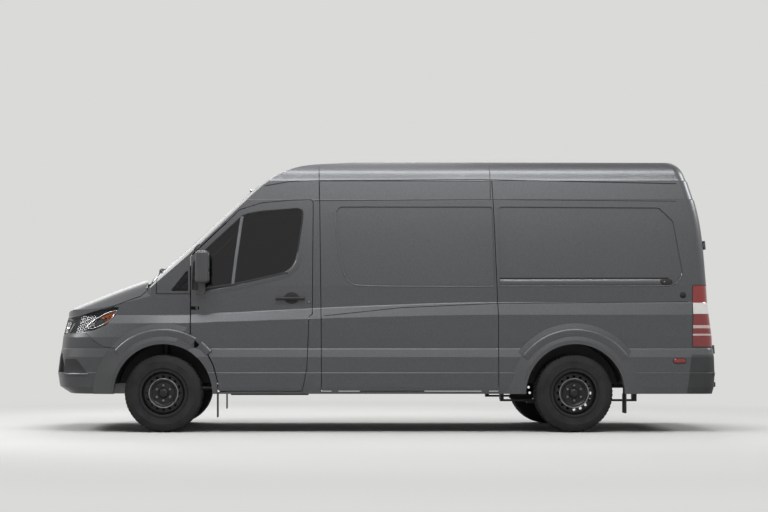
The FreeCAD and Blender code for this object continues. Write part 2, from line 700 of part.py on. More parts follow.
def cowl(s, shell):
    """The tray under the wipers: it lies lower than the bonnet, and its raised rim carries the windscreen."""
    drop = s["cowl_drop"]
    front = s["front"]
    room = cuboid((front + 20, front + 280), (0, 870), (1230, 1450))
    behind = plan_prism(cowl_line(s, 20) + [(front - 400, -1200), (front - 400, 1200)], 0, 3000)
    foot = [(y, z + 6) for y, z in SCREEN_FOOT[::-1]] + [(860, 1328), (860, 1250), (0, 1250)]
    below = front_prism(foot, front + 20, front + 600)
    zone = room.common(behind).common(below)
    tray = top_block(s, drop, zone).cut(top_block(s, drop + 10, room))
    band = [(y, z + 26) for y, z in SCREEN_FOOT[::-1]] + SCREEN_FOOT
    band = front_prism(band, front - 200, front + 600).common(cuboid((0, 4000), (0, 870), (1230, 1450)))
    rim = cab_block(s, 14.3).common(band).cut(cab_block(s, drop + 10))
    pillar = cuboid((front - 400, front + 66.3), (818, 1300), (1100, 1500))
    hinge_slot = cuboid((front + 60, front + 400), (630, 702), (1100, bonnet_hinge(s).z + 30))
    return whole(tray.fuse(rim).cut([pillar, hinge_slot]))


def top_block(s, inset, zone):
    return bonnet_block(s, inset).common(zone).fuse(cab_block(s, inset).common(zone))


def tail_zone(s, low=-1400):
    return side_prism(s, REAR_SEAM + [(-6000, 300), (-6000, 2600)], low, 1400)


REAR_DOOR_EDGE = [(4, 608), (797, 608), (797, 1330), (786, 1600), (752, 2060), (716, 2260), (600, 2322), (4, 2326)]


def rear_door_prism(s, grow=0.0):
    wire = Part.makePolygon([Vector(-4000, y, z) for y, z in REAR_DOOR_EDGE + REAR_DOOR_EDGE[:1]])
    if grow:
        wire = wire.makeOffset2D(grow, 2)
    return Part.Face(wire).extrude(Vector(4000 + s["rear"] - 940, 0, 0))


def rear_door(s, shell):
    door = hemmed(shell, rear_door_prism(s), rear_door_prism(s, -s["hem"])).common(tail_zone(s))
    line = rear_hinge_line(s)
    for step in REAR_HINGE_STEPS:
        pin = Part.makeCylinder(5, 78, Vector(0, 0, step - 39))
        door = door.fuse(on_line(line, pin))
        for low in (step - 39, step + 18 + s["bore_clearance"]):
            barrel = Part.makeCylinder(12, 20.7, Vector(0, 0, low))
            leaf = cuboid((0, 60), (-60, 0), (low, low + 20.7))
            door = door.fuse(on_line(line, barrel.fuse(leaf.cut(clear_of_frame(s)))).cut(shell.outer))
    return largest(door)


def clear_of_frame(s):
    return cuboid((12, 200), (-23, 50), (-100, 2000))


def rear_hinge_leaves(s, shell):
    line = rear_hinge_line(s)
    leaves = []
    for step in REAR_HINGE_STEPS:
        barrel = Part.makeCylinder(12, 36, Vector(0, 0, step - 18))
        leaf = cuboid((0, 60), (0, 40), (step - 18, step + 18))
        bore = Part.makeCylinder(5 + s["bore_clearance"], 60, Vector(0, 0, step - 30))
        leaves.append(on_line(line, barrel.fuse(leaf).cut(bore)).cut(shell.outer))
    return leaves


def lamp_box(s):
    return cuboid((-4000, s["rear"] - 800), (803, 1300), (762, 1315))


def bumper_zone(s):
    low = cuboid((-4000, s["rear"] - 800), (0, 1300), (300, 600))
    return low.fuse(cuboid((-4000, s["rear"] - 800), (803, 1300), (300, 695)))


def rear_frame(s, shell):
    door = rear_door_prism(s, s["door_gap"])
    middle = cuboid((-4000, s["rear"] - 940), (-1, 8), (600, 2332))
    frame = shell.thick.common(tail_zone(s)).cut([door, bumper_zone(s), middle, tail_lamp(s, shell)])
    return whole(largest(frame).fuse(rear_hinge_leaves(s, shell)))


def tail_lamp(s, shell):
    return largest(shell.thin.common(tail_zone(s)).common(lamp_box(s)))


def rear_bumper(s, shell):
    bumper = largest(shell.thick.common(tail_zone(s)).common(bumper_zone(s)))
    half = s["step_width"] / 2
    step = cuboid((s["rear"] - s["rear_overhang"], s["rear"] - 1170), (0, half), (398, 440))
    corner = [e for e in step.Edges if is_upright(e) and e.Vertexes[0].Y > 1 and e.Vertexes[0].X < s["rear"] - 1300]
    kerb = cuboid((s["rear"] - 1298, s["rear"] - 1170), (0, half), (430, 446))
    return whole(bumper.fuse([step.makeFillet(12, corner), kerb]))


def is_upright(edge):
    return abs(edge.Vertexes[0].Z - edge.Vertexes[-1].Z) > 1


# Wheels

def ring_body(doc, points, guess):
    """A turned piece: its outline is drawn in radius and width and spun about the wheel's axis."""
    body = doc.addObject("PartDesign::Body", "turned")
    sketch = outline_sketch(body, "XY_Plane", points, guess)
    spin = body.newObject("PartDesign::Revolution", "spin")
    spin.Profile = sketch
    spin.ReferenceAxis = (origin_part(body, "Y_Axis"), [""])
    spin.Angle = 360
    return body


def tyre_points():
    half = "tyre_width / 2"
    return [("bead_radius", "10"), ("bead_radius", half + " - 14"), ("bead_radius + 9", half + " - 10.5"),
            ("bead_radius + 60", half), ("bead_radius + 100", half + " - 3"), ("tyre_radius - 18", half + " - 16"),
            ("tyre_radius - 5", half + " - 30"), ("tyre_radius", half + " - 48"), ("tyre_radius", "10")]


TYRE_GUESS = [(203, 10), (203, 103), (212, 107), (263, 117), (303, 114), (333, 101), (346, 87), (351, 69), (351, 10)]
RIM_GUESS = [(36, 60), (178, 60), (186, 40), (186, 12), (186, 12), (186, 12)]


def tyre(doc):
    low = [(r, "-(%s)" % y) for r, y in tyre_points()[::-1] if y != "10"]
    high = [p for p in tyre_points() if p[1] != "10"]
    guess = [g for g in TYRE_GUESS if g[1] != 10]
    low_guess = [(r, -y) for r, y in guess[::-1]]
    return ring_body(doc, high + low, guess + low_guess)


def rim(doc):
    half = "tyre_width / 2"
    points = [("36", "hub_face"), ("96", "hub_face"), ("112", "hub_face + 12"), ("172", "hub_face + 2"),
              ("barrel_radius", "hub_face - 18"), ("barrel_radius", "-(%s) + 6" % half),
              ("rim_radius", "-(%s) + 2" % half), ("rim_radius", "-(%s) + 10" % half),
              ("bead_radius", "-(%s) + 14" % half), ("bead_radius", "%s - 14" % half),
              ("rim_radius", "%s - 10" % half), ("rim_radius", "%s - 2" % half),
              ("barrel_radius + 7", "%s - 6" % half), ("barrel_radius + 4", "hub_face + 6"),
              ("174", "hub_face + 12"), ("112", "hub_face + 22"), ("96", "hub_face + 10"), ("36", "hub_face + 10")]
    guess = [(36, 60), (96, 60), (112, 72), (172, 62), (186, 42), (186, -111), (212, -115), (212, -107), (203, -103),
             (203, 103), (212, 107), (212, 115), (193, 111), (190, 66), (174, 72), (112, 82), (96, 70), (36, 70)]
    return ring_body(doc, points, guess)


def wheel_rim(doc):
    base = rim(doc)
    holes = []
    for i in range(16):
        angle = math.radians(360.0 / 16 * i)
        hole = rod(doc, "y", "13", "80", "%.6f * 146" % math.cos(angle), "hub_face - 30", "%.6f * 146" % math.sin(angle))
        holes.append(hole)
    return carved(doc, base, holes)


def put_wheel(doc, name, maker, front, left):
    """A wheel piece stands at its hub; on the right it is turned round so that its outer face points out."""
    thing = maker(doc)
    holder = doc.addObject("Part::Compound", "wheel_place")
    holder.Links = [thing]
    turn = FreeCAD.Rotation(Vector(0, 0, 1), 0 if left else 180)
    holder.Placement = FreeCAD.Placement(ORIGIN, turn)
    holder.setExpression("Placement.Base.x", bound(FRONT if front else REAR))
    holder.setExpression("Placement.Base.y", bound(("" if left else "-") + "wheel_track / 2"))
    holder.setExpression("Placement.Base.z", bound("axle_height"))
    holder.Label = name
    return holder


def knuckle(doc):
    """The part that steers: a carrier between two pivots, a brake disc and the hub that the rim sits on."""
    track = "wheel_track / 2"
    carrier = block(doc, (FRONT + " - 30", FRONT + " + 30"), ("kingpin - 28", "kingpin + 28"),
                    ("axle_height - 109.7", "axle_height + 109.7"))
    disc = rod(doc, "y", "148", "26", FRONT, "kingpin + 28", "axle_height")
    hub = rod(doc, "y", "78", "%s + hub_face - kingpin - 54" % track, FRONT, "kingpin + 54", "axle_height")
    spigot = rod(doc, "y", "36", "22", FRONT, "%s + hub_face" % track, "axle_height")
    upper = rod(doc, "z", "pin_radius", "30", FRONT, "kingpin", "axle_height + 105")
    lower = rod(doc, "z", "pin_radius", "30", FRONT, "kingpin", "axle_height - 135")
    return [carrier, disc, hub, spigot, upper, lower]


# Chassis and running gear

def chassis_frame(doc):
    rail = block(doc, (REAR + " - 1170", FRONT + " + 900"), ("rail_inner", "rail_outer"),
                 ("rail_bottom", "floor_height - 15"))
    members = both_sides(doc, [rail])
    for place in (FRONT + " + 840", FRONT + " - 380", FRONT + " - 1400", FRONT + " - 2500", REAR + " - 700",
                  REAR + " - 1110"):
        members.append(block(doc, (place, place + " + 60"), ("-rail_inner", "rail_inner"),
                             ("rail_bottom + 20", "floor_height - 35")))
    return joined(doc, members)


def front_suspension(doc):
    beam = block(doc, (FRONT + " - 70", FRONT + " + 70"), ("-rail_outer", "rail_outer"), ("250", "330"))
    post = block(doc, (FRONT + " - 50", FRONT + " + 50"), ("rail_inner", "rail_outer"), ("330", "rail_bottom"))
    eye_gap = "pin_radius + bore_clearance"
    lower = block(doc, (FRONT + " - 20", FRONT + " + 20"), ("rail_outer", "kingpin"), ("axle_height - 133", "axle_height - 110"))
    lower_eye = rod(doc, "z", "20", "23", FRONT, "kingpin", "axle_height - 133")
    leg = block(doc, (FRONT + " - 20", FRONT + " + 20"), ("rail_inner + 30", "rail_outer + 30"), ("axle_height - 133", "300"))
    upper = block(doc, (FRONT + " - 20", FRONT + " + 20"), ("600", "kingpin"), ("axle_height + 110", "axle_height + 133"))
    upper_eye = rod(doc, "z", "20", "23", FRONT, "kingpin", "axle_height + 110")
    strut = rod(doc, "z", "32", "arch_radius - 118", FRONT, "600", "axle_height + 110")
    seat = block(doc, (FRONT + " - 60", FRONT + " + 60"), ("rail_outer", "600"), ("axle_height + 110", "axle_height + 133"))
    side = joined(doc, [beam, post, lower, lower_eye, leg, upper, upper_eye, strut, seat])
    bore = rod(doc, "z", eye_gap, "60", FRONT, "kingpin", "axle_height - 150")
    bore_up = rod(doc, "z", eye_gap, "60", FRONT, "kingpin", "axle_height + 90")
    left = carved(doc, side, [bore, bore_up])
    return joined(doc, [left, other_side(doc, left)])


def rear_axle(doc):
    beam = rod(doc, "y", "42", "1440", REAR, "-720", "axle_height")
    plate = rod(doc, "y", "150", "20", REAR, "720", "axle_height")
    drum = rod(doc, "y", "130", "90", REAR, "740", "axle_height")
    hub = rod(doc, "y", "78", "wheel_track / 2 + hub_face - 830", REAR, "830", "axle_height")
    spigot = rod(doc, "y", "35", "22", REAR, "wheel_track / 2 + hub_face", "axle_height")
    pad = block(doc, (REAR + " - 60", REAR + " + 60"), ("560", "640"), ("axle_height - 66", "axle_height"))
    spring = block(doc, (REAR + " - 620", REAR + " + 620"), ("565", "635"), ("axle_height - 84", "axle_height - 66"))
    leaf = block(doc, (REAR + " - 380", REAR + " + 380"), ("565", "635"), ("axle_height - 100", "axle_height - 84"))
    front_hanger = block(doc, (REAR + " + 590", REAR + " + 620"), ("rail_outer", "635"), ("axle_height - 66", "floor_height - 30"))
    rear_hanger = block(doc, (REAR + " - 620", REAR + " - 590"), ("rail_outer", "635"), ("axle_height - 66", "floor_height - 30"))
    left = both_sides(doc, [plate, drum, hub, spigot, pad, spring, leaf, front_hanger, rear_hanger])
    return joined(doc, [beam] + left)


def floor_shape(s, shell):
    """The load floor with its raised board, a step up behind the partition, and the cab floor."""
    front = s["front"]
    top = s["floor_height"]
    cab_top = s["cab_floor_height"]
    load = cuboid((s["rear"] - 1175, front - 1372), (0, 1200), (top - 15, top - 3))
    board = cuboid((s["rear"] - 1160, front - 1378), (0, 880), (top - 3, top))
    board = board.cut(arch_cylinder(s, "rear", s["arch_radius"] + 14, 684, 1290))
    riser = cuboid((front - 1372, front - 1345), (0, 880), (top - 15, cab_top))
    cab = cuboid((front - 1345, front - 350), (0, 880), (cab_top - 15, cab_top))
    toe = cuboid((front - 350, front - 20), (0, 530), (cab_top - 15, cab_top))
    floor = load.fuse([board, riser, cab, toe]).common(shell.inside)
    tubs = [arch_cylinder(s, "rear", s["arch_radius"] + 8, 690, 1290),
            arch_cylinder(s, "front", s["arch_radius"] + 8, s["rail_outer"], 1290)]
    return whole(floor.cut(tubs))


def wheel_tub(s, axle, inner, within):
    """The tub over a wheel: an arched sheet with a wall on its inner side, open below and towards the wheel."""
    radius = s["arch_radius"]
    outer = arch_cylinder(s, axle, radius + 8, inner, 1005)
    hollow = arch_cylinder(s, axle, radius, inner + 6, 1005)
    upper = cuboid((s[axle] - 700, s[axle] + 700), (0, 1200), (s["axle_height"] + 80, 2000))
    way_in = cuboid((s[axle] - 75, s[axle] + 75), (inner - 5, inner + 10), (300, s["axle_height"] + 150))
    return outer.cut([hollow, way_in]).common(upper).common(within)


def mudflap(s, x, low, high):
    return cuboid((x, x + 10), (850, 1000), (low, high))


def wheel_boxes(s, shell):
    front_tub = wheel_tub(s, "front", s["rail_outer"], shell.lining)
    rear_tub = wheel_tub(s, "rear", 690, shell.inside)
    flaps = [mudflap(s, s["front"] - 490, 138, s["sill_height"]), mudflap(s, s["rear"] - 455, 173, s["sill_height"])]
    left = [largest(front_tub), largest(rear_tub)] + flaps
    return Part.makeCompound(left + [piece.mirror(ORIGIN, ACROSS) for piece in left])


def cab_frame(s, shell):
    """Sills, hinge pillars with the hinge arms, and the wall between cab and engine."""
    front = s["front"]
    cab_top = s["cab_floor_height"]
    hinge_x = front - s["door_hinge_back"]
    tub = arch_cylinder(s, "front", s["arch_radius"] + 8, s["rail_outer"], 1200)
    sill = cuboid((front - 1345, front - 500), (790, 915), (s["sill_height"], cab_top - 15)).common(shell.inside)
    post = cuboid((hinge_x - 60, hinge_x + 60), (775, 838), (cab_top, 1262)).common(shell.inside).cut(tub)
    wall = cuboid((front - 20, front), (0, 800), (cab_top - 15, 1250)).cut(tub).common(shell.inside)
    brace = cuboid((hinge_x + 60, front - 20), (775, 800), (860, 1200))
    arms = [largest(arm.cut(post)) for arm in cab_hinge_arms(s)]
    middle = whole(post.fuse([brace, wall] + arms + bonnet_brackets(s)))
    return Part.makeCompound([middle, sill, sill.mirror(ORIGIN, ACROSS)])


def partition(s, shell):
    slab = cuboid((s["front"] - 1372, s["front"] - 1360), (0, 1200), (s["cab_floor_height"], 3000))
    return whole(slab.common(shell.inside))


def bumper_beam(s, shell):
    beam = cuboid((s["front"] + 900, s["front"] + 1100), (0, 560), (445, 545))
    return whole(beam.common(shell.lining))


def powertrain(doc):
    """One plain block for engine and gearbox with its mounts, and the radiator behind the grille."""
    engine = block(doc, (FRONT + " + 20", FRONT + " + 520"), ("-400", "400"), ("330", "930"))
    mounts = both_sides(doc, [block(doc, (FRONT + " + 200", FRONT + " + 280"), ("400", "rail_inner"), ("450", "520"))])
    return joined(doc, [engine] + mounts)


def radiator(doc):
    return block(doc, (FRONT + " + 845", FRONT + " + 895"), ("-400", "400"), ("floor_height - 35", "900"))


def fuel_tank(doc):
    return block(doc, (FRONT + " - 1300", FRONT + " - 560"), ("-rail_inner", "-70"), ("300", "540"))


def exhaust(doc):
    pipe = rod(doc, "x", "28", "1800", FRONT + " - 1780", "200", "385")
    muffler = rod(doc, "x", "90", "600", FRONT + " - 2380", "200", "425")
    tail = rod(doc, "x", "26", "600", FRONT + " - 2960", "200", "405")
    return joined(doc, [pipe, muffler, tail])


def seat_bases(doc):
    return [block(doc, (FRONT + " - 1240", FRONT + " - 820"), ("250", "690"), ("cab_floor_height", "880")),
            block(doc, (FRONT + " - 1240", FRONT + " - 820"), ("-740", "130"), ("cab_floor_height", "880"))]


def seat_profile(s):
    """The seat seen from the side: cushion and leaning back in one outline."""
    front = s["front"]
    points = [(-1245, 880), (-790, 880), (-700, 905), (-690, 960), (-730, 1010), (-1110, 985), (-1190, 1500),
              (-1240, 1560), (-1300, 1560), (-1330, 1500), (-1262, 1010)]
    return [Vector(front + x, 0, z) for x, z in points]


def seat(s, low, high, heads):
    points = seat_profile(s)
    wire = Part.makePolygon(points + points[:1])
    body = Part.Face(wire).extrude(Vector(0, high - low, 0))
    edges = [e for e in body.Edges if abs(e.tangentAt(e.FirstParameter).y) > 0.99]
    body = body.makeFillet(12, edges)
    body.translate(Vector(0, low, 0))
    for middle in heads:
        head = cuboid((s["front"] - 1320, s["front"] - 1225), (middle - 125, middle + 125), (1560, 1740))
        body = body.fuse(head.makeFillet(30, head.Edges))
    return largest(body)


def seats(s):
    return Part.makeCompound([seat(s, 230, 710, [470]), seat(s, -760, 150, [-540, -80])])


def dashboard(s):
    front = s["front"]
    points = [(-480, 1180), (-400, 1262), (-180, 1290), (-20, 1290), (-20, 950), (-300, 900), (-440, 960)]
    wire = Part.makePolygon([Vector(front + x, -774, z) for x, z in points + points[:1]])
    board = Part.Face(wire).extrude(Vector(0, 1548, 0))
    centre = Vector(front - 640, 470, 1120)
    axis = Vector(-0.52, 0, 0.85)
    ring = Part.makeTorus(185, 14, centre, axis)
    column = Part.makeCylinder(26, 260, centre, axis.multiply(-1))
    pieces = [ring, column, Part.makeCylinder(55, 30, centre + Vector(0.52, 0, -0.85) * 15, Vector(-0.52, 0, 0.85))]
    for angle in (90, 210, 330):
        spoke = cuboid((0, 180), (-14, 14), (-6, 6))
        spoke.Placement = FreeCAD.Placement(centre, FreeCAD.Rotation(Vector(0, 0, 1), Vector(-0.52, 0, 0.85))
                                            .multiply(FreeCAD.Rotation(Vector(0, 0, 1), angle)))
        pieces.append(spoke)
    return largest(board.fuse(pieces))


def mirror(s, shell):
    front = s["front"]
    head = cuboid((front - 415, front - 297), (1015, 1195), (1327, 1610))
    head = head.makeFillet(26, head.Edges)
    arm = cuboid((front - 372, front - 300), (900, 1100), (1228, 1264))
    riser = cuboid((front - 380, front - 320), (1035, 1100), (1240, 1350))
    return largest(head.fuse([arm, riser]).cut(shell.outer))


def handle(s, shell, ahead):
    """A grip bar that stands out over an oval dish."""
    x = s["front"] - ahead
    bar = cuboid((x, x + 257), (930, 980), (1181, 1209))
    bar = bar.makeFillet(10, [e for e in bar.Edges if abs(e.tangentAt(e.FirstParameter).x) > 0.99])
    oval = Part.Ellipse(Vector(x + 118, 1300, 1199), 67, 52).toShape()
    oval.rotate(Vector(x + 118, 1300, 1199), Vector(1, 0, 0), 90)
    dish = Part.Face(Part.Wire(oval)).extrude(Vector(0, -1300, 0))
    dish = dish.common(shell.outer.translated(Vector(0, 4, 0)))
    return largest(bar.fuse(dish.common(cuboid((x, x + 257), (880, 1300), (1100, 1300)))).cut(shell.outer))


def pair(shape):
    return Part.makeCompound([shape, shape.mirror(ORIGIN, ACROSS)])


def place_panels(doc, s, shell):
    sided = {"wing": wing, "front_door": cab_door, "door_glass": cab_glass, "sliding_door": sliding_door,
             "side_panel": side_panel, "rear_door": rear_door, "mirror": mirror}
    single = {"bonnet": bonnet, "roof_panel": roof_panel, "grille": grille, "front_bumper": front_bumper,
              "cowl": cowl, "rear_frame": rear_frame, "rear_bumper": rear_bumper, "floor": floor_shape,
              "wheel_boxes": wheel_boxes, "cab_frame": cab_frame, "partition": partition}
    shapes = {}
    for name, maker in sided.items():
        shape = maker(s, shell)
        shapes[name + "_left"] = shape
        shapes[name + "_right"] = shape.mirror(ORIGIN, ACROSS)
    for name, maker in single.items():
        shapes[name] = maker(s, shell)
    shapes["intake"] = Part.makeCompound([intake(s, shell), pair(corner_pocket(s, shell))])
    grip = handle(s, shell, 1262)
    shapes["door_handle_left"] = grip
    shapes["door_handle_right"] = grip.mirror(ORIGIN, ACROSS)
    shapes["sliding_door_handle"] = handle(s, shell, 1700).mirror(ORIGIN, ACROSS)
    shapes["headlamps"] = pair(headlamp(s, shell))
    shapes["tail_lamps"] = pair(tail_lamp(s, shell))
    quarter = quarter_glass(s, shell)
    shapes["fixed_glass"] = Part.makeCompound([windscreen(s, shell), quarter, quarter.mirror(ORIGIN, ACROSS)])
    shapes["seat_cushions"] = seats(s)
    shapes["dashboard"] = dashboard(s)
    for name, shape in shapes.items():
        feature(doc, shape).Label = name
    return sorted(shapes)


def named(thing, label):
    thing.Label = label
    return label


def compound(doc, pieces):
    group = doc.addObject("Part::Compound", "group")
    group.Links = pieces
    return group


def place_running_gear(doc, s, shell):
    frame = joined(doc, [chassis_frame(doc), feature(doc, bumper_beam(s, shell))])
    names = [named(frame, "chassis_frame")]
    names.append(named(front_suspension(doc), "front_suspension"))
    names.append(named(rear_axle(doc), "rear_axle"))
    names.append(named(compound(doc, [powertrain(doc), radiator(doc)]), "powertrain"))
    names.append(named(fuel_tank(doc), "fuel_tank"))
    names.append(named(exhaust(doc), "exhaust"))
    names.append(named(compound(doc, seat_bases(doc)), "seat_bases"))
    left = joined(doc, knuckle(doc))
    names.append(named(left, "knuckle_left"))
    names.append(named(other_side(doc, left), "knuckle_right"))
    for place, front in (("front", True), ("rear", False)):
        for side, is_left in (("left", True), ("right", False)):
            put_wheel(doc, "rim_%s_%s" % (place, side), wheel_rim, front, is_left)
            put_wheel(doc, "tyre_%s_%s" % (place, side), tyre, front, is_left)
            names += ["rim_%s_%s" % (place, side), "tyre_%s_%s" % (place, side)]
    return names


def check(doc, names):
    for thing in doc.Objects:
        for word in ("Invalid", "Error"):
            if word in thing.State:
                raise RuntimeError("%s (%s) is %s" % (thing.Name, thing.Label, thing.State))
    for name in names:
        shape = doc.getObjectsByLabel(name)[0].Shape
        if shape.isNull() or not shape.isValid():
            raise RuntimeError("%s has no valid shape" % name)


def main():
    doc = FreeCAD.newDocument("Van")
    sheet = make_sheet(doc)
    s = places(read_sizes(sheet))
    shell = Shell(s)
    names = place_panels(doc, s, shell)
    names += place_running_gear(doc, s, shell)
    doc.recompute()
    check(doc, names)
    os.makedirs("parts", exist_ok=True)
    for name in names:
        shape = doc.getObjectsByLabel(name)[0].Shape
        shape.exportStep("parts/%s.step" % name)
        print("%-24s %3d solids %8.3f litres" % (name, len(shape.Solids), shape.Volume / 1e6))


main()
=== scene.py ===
"""Looks of a grey panel van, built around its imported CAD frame. Metres; +X forward, +Y left, +Z up."""

import math

import bmesh
import bpy
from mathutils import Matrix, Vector
from mathutils.bvhtree import BVHTree


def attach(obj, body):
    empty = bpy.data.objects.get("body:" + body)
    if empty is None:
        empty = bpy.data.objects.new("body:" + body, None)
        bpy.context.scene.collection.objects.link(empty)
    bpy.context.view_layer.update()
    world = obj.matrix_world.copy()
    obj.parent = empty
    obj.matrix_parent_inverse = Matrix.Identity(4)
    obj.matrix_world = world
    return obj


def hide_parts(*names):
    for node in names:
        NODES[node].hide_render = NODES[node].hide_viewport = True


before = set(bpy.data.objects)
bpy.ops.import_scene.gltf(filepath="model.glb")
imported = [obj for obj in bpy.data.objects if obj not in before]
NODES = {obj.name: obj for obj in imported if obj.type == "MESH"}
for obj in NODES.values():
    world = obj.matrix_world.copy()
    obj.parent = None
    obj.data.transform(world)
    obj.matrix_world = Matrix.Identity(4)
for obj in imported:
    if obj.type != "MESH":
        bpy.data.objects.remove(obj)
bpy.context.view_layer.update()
FRONT_AXLE = 1.9895
REAR_AXLE = -1.6755
SIDES = {"left": 1, "right": -1}


# The studio. A plain pale floor and a pale surround, with a wide lamp overhead and a long strip lamp along
# each side. The camera stands level, square to the van's left side, a little nearer its front wheel.

def linear(code):
    """An sRGB hex colour as linear values."""
    parts = [int(code[i:i + 2], 16) / 255 for i in (1, 3, 5)]
    return tuple(c / 12.92 if c <= 0.04045 else ((c + 0.055) / 1.055) ** 2.4 for c in parts) + (1.0,)


def add_node(tree, kind, settings=None, inputs=None, links=None):
    """A node with its settings, its input values, and links into its inputs from other nodes' outputs."""
    made = tree.nodes.new(kind)
    for name, value in (settings or {}).items():
        setattr(made, name, value)
    for name, value in (inputs or {}).items():
        made.inputs[name].default_value = value
    for name, source in (links or {}).items():
        tree.links.new(source, made.inputs[name])
    return made


def studio_world():
    world = bpy.data.worlds.new("pale surround")
    world.use_nodes = True
    tree = world.node_tree
    tree.nodes.clear()
    path = add_node(tree, "ShaderNodeLightPath")
    seen = add_node(tree, "ShaderNodeMath", {"operation": "MAXIMUM"},
                    links={0: path.outputs["Is Camera Ray"], 1: path.outputs["Is Transmission Ray"]})
    seen = add_node(tree, "ShaderNodeMath", {"operation": "MAXIMUM"}, links={0: seen.outputs[0],
                                                                            1: path.outputs["Is Glossy Ray"]})
    light = add_node(tree, "ShaderNodeBackground", inputs={"Color": (1, 1, 1, 1), "Strength": 0.17})
    shown = add_node(tree, "ShaderNodeBackground", inputs={"Color": linear("#DADAD8"), "Strength": 1.0})
    mix = add_node(tree, "ShaderNodeMixShader", links={0: seen.outputs[0], 1: light.outputs[0],
                                                       2: shown.outputs[0]})
    add_node(tree, "ShaderNodeOutputWorld", links={"Surface": mix.outputs[0]})
    bpy.context.scene.world = world


def object_of(name, verts, faces):
    """A new object in the scene, from its points and faces."""
    mesh = bpy.data.meshes.new(name)
    mesh.from_pydata([tuple(v) for v in verts], [], faces)
    made = bpy.data.objects.new(name, mesh)
    bpy.context.collection.objects.link(made)
    return made


def plain_floor():
    reach = 400
    corners = [(-reach, -reach, 0), (reach, -reach, 0), (reach, reach, 0), (-reach, reach, 0)]
    floor = object_of("studio_floor", corners, [(0, 1, 2, 3)])
    paper = bpy.data.materials.new("pale studio floor")
    paper.use_nodes = True
    tree = paper.node_tree
    shader = tree.nodes["Principled BSDF"]
    shader.inputs["Base Color"].default_value = linear("#C6C6C4")
    shader.inputs["Roughness"].default_value = 0.8
    shader.inputs["Specular IOR Level"].default_value = 0.2
    # beyond the object's shadow the paper runs evenly into the surround, as a curved backdrop does
    place = add_node(tree, "ShaderNodeTexCoord").outputs["Object"]
    away = add_node(tree, "ShaderNodeVectorMath", {"operation": "LENGTH"}, links={0: place})
    far = add_node(tree, "ShaderNodeMapRange", {"interpolation_type": "SMOOTHSTEP"},
                   {"From Min": 3.2, "From Max": 7.5}, {"Value": away.outputs["Value"]})
    shown = add_node(tree, "ShaderNodeEmission", inputs={"Color": linear("#DADAD8"), "Strength": 1.0})
    mix = add_node(tree, "ShaderNodeMixShader", links={0: far.outputs["Result"], 1: shader.outputs[0],
                                                       2: shown.outputs[0]})
    tree.links.new(mix.outputs[0], tree.nodes["Material Output"].inputs["Surface"])
    floor.data.materials.append(paper)


def area_lamp(name, place, target, size, power, colour="#FFFFFF"):
    lamp = bpy.data.lights.new(name, "AREA")
    lamp.shape = "RECTANGLE"
    lamp.size, lamp.size_y = size
    lamp.energy = power
    lamp.color = linear(colour)[:3]
    holder = bpy.data.objects.new(name, lamp)
    holder.location = place
    holder.rotation_euler = (Vector(target) - Vector(place)).to_track_quat("-Z", "Y").to_euler()
    holder.visible_camera = False
    bpy.context.collection.objects.link(holder)


def studio_camera():
    camera = bpy.data.cameras.new("square to the side")
    camera.lens = 76.5
    camera.sensor_width = 36
    camera.shift_x = 0.109375
    camera.shift_y = 0.110677
    camera.clip_end = 900
    holder = bpy.data.objects.new("camera", camera)
    holder.location = (0.771, 15.5, 0.816)
    holder.rotation_euler = (math.pi / 2, 0, math.pi)
    bpy.context.collection.objects.link(holder)
    bpy.context.scene.camera = holder


bpy.context.scene.view_settings.view_transform = "Standard"
studio_world()
plain_floor()
studio_camera()
area_lamp("overhead softbox", (0.6, 0.0, 8.5), (0.0, 0.0, 1.0), (9.0, 4.0), 190)
area_lamp("left strip", (-0.5, 4.4, 5.6), (-0.5, 0.9, 1.7), (7.0, 1.0), 330)
area_lamp("right strip", (-0.5, -4.4, 5.6), (-0.5, -0.9, 1.7), (7.0, 1.0), 330)
area_lamp("front softbox", (6.4, 1.4, 4.8), (2.4, 0.3, 1.2), (2.4, 1.8), 230)
area_lamp("far front softbox", (4.4, -5.2, 3.6), (2.2, 0.0, 1.3), (3.6, 2.6), 60)
area_lamp("rear softbox", (-7.4, 0.6, 4.8), (-2.6, 0.0, 1.3), (2.4, 2.0), 190)


# Painted steel panels: sides, roof, wings, doors, bonnet. Pressed sheet with a satin grey metallic coat: fine
# flakes under a semi-gloss clear layer, so that the light spreads broadly over each crease.

def new_material(name, colour, metallic=0.0, roughness=0.5):
    made = bpy.data.materials.new(name)
    made.use_nodes = True
    shader = made.node_tree.nodes["Principled BSDF"]
    shader.inputs["Base Color"].default_value = linear(colour)
    shader.inputs["Metallic"].default_value = metallic
    shader.inputs["Roughness"].default_value = roughness
    return made, made.node_tree, shader


def two_tone(tree, shader, factor, low, high, start=0.0, end=1.0):
    """The base colour runs from one hex value to the other as the factor rises from start to end."""
    ramp = add_node(tree, "ShaderNodeValToRGB", links={"Fac": factor})
    for element, place, colour in zip(ramp.color_ramp.elements, (start, end), (low, high)):
        element.position = place
        element.color = linear(colour)
    tree.links.new(ramp.outputs["Color"], shader.inputs["Base Color"])


def mottled(tree, shader, coords, low, high, size_mm, detail=2.0):
    """Colour that drifts between two hex values over patches of a real size."""
    noise = add_node(tree, "ShaderNodeTexNoise", inputs={"Scale": 1000 / size_mm, "Detail": detail},
                     links={"Vector": coords})
    two_tone(tree, shader, noise.outputs["Fac"], low, high, 0.35, 0.65)


def raised(tree, shader, height, strength, depth_mm):
    """A fine relief of a real depth."""
    bump = add_node(tree, "ShaderNodeBump", inputs={"Strength": strength, "Distance": depth_mm / 1000},
                    links={"Height": height})
    tree.links.new(bump.outputs["Normal"], shader.inputs["Normal"])


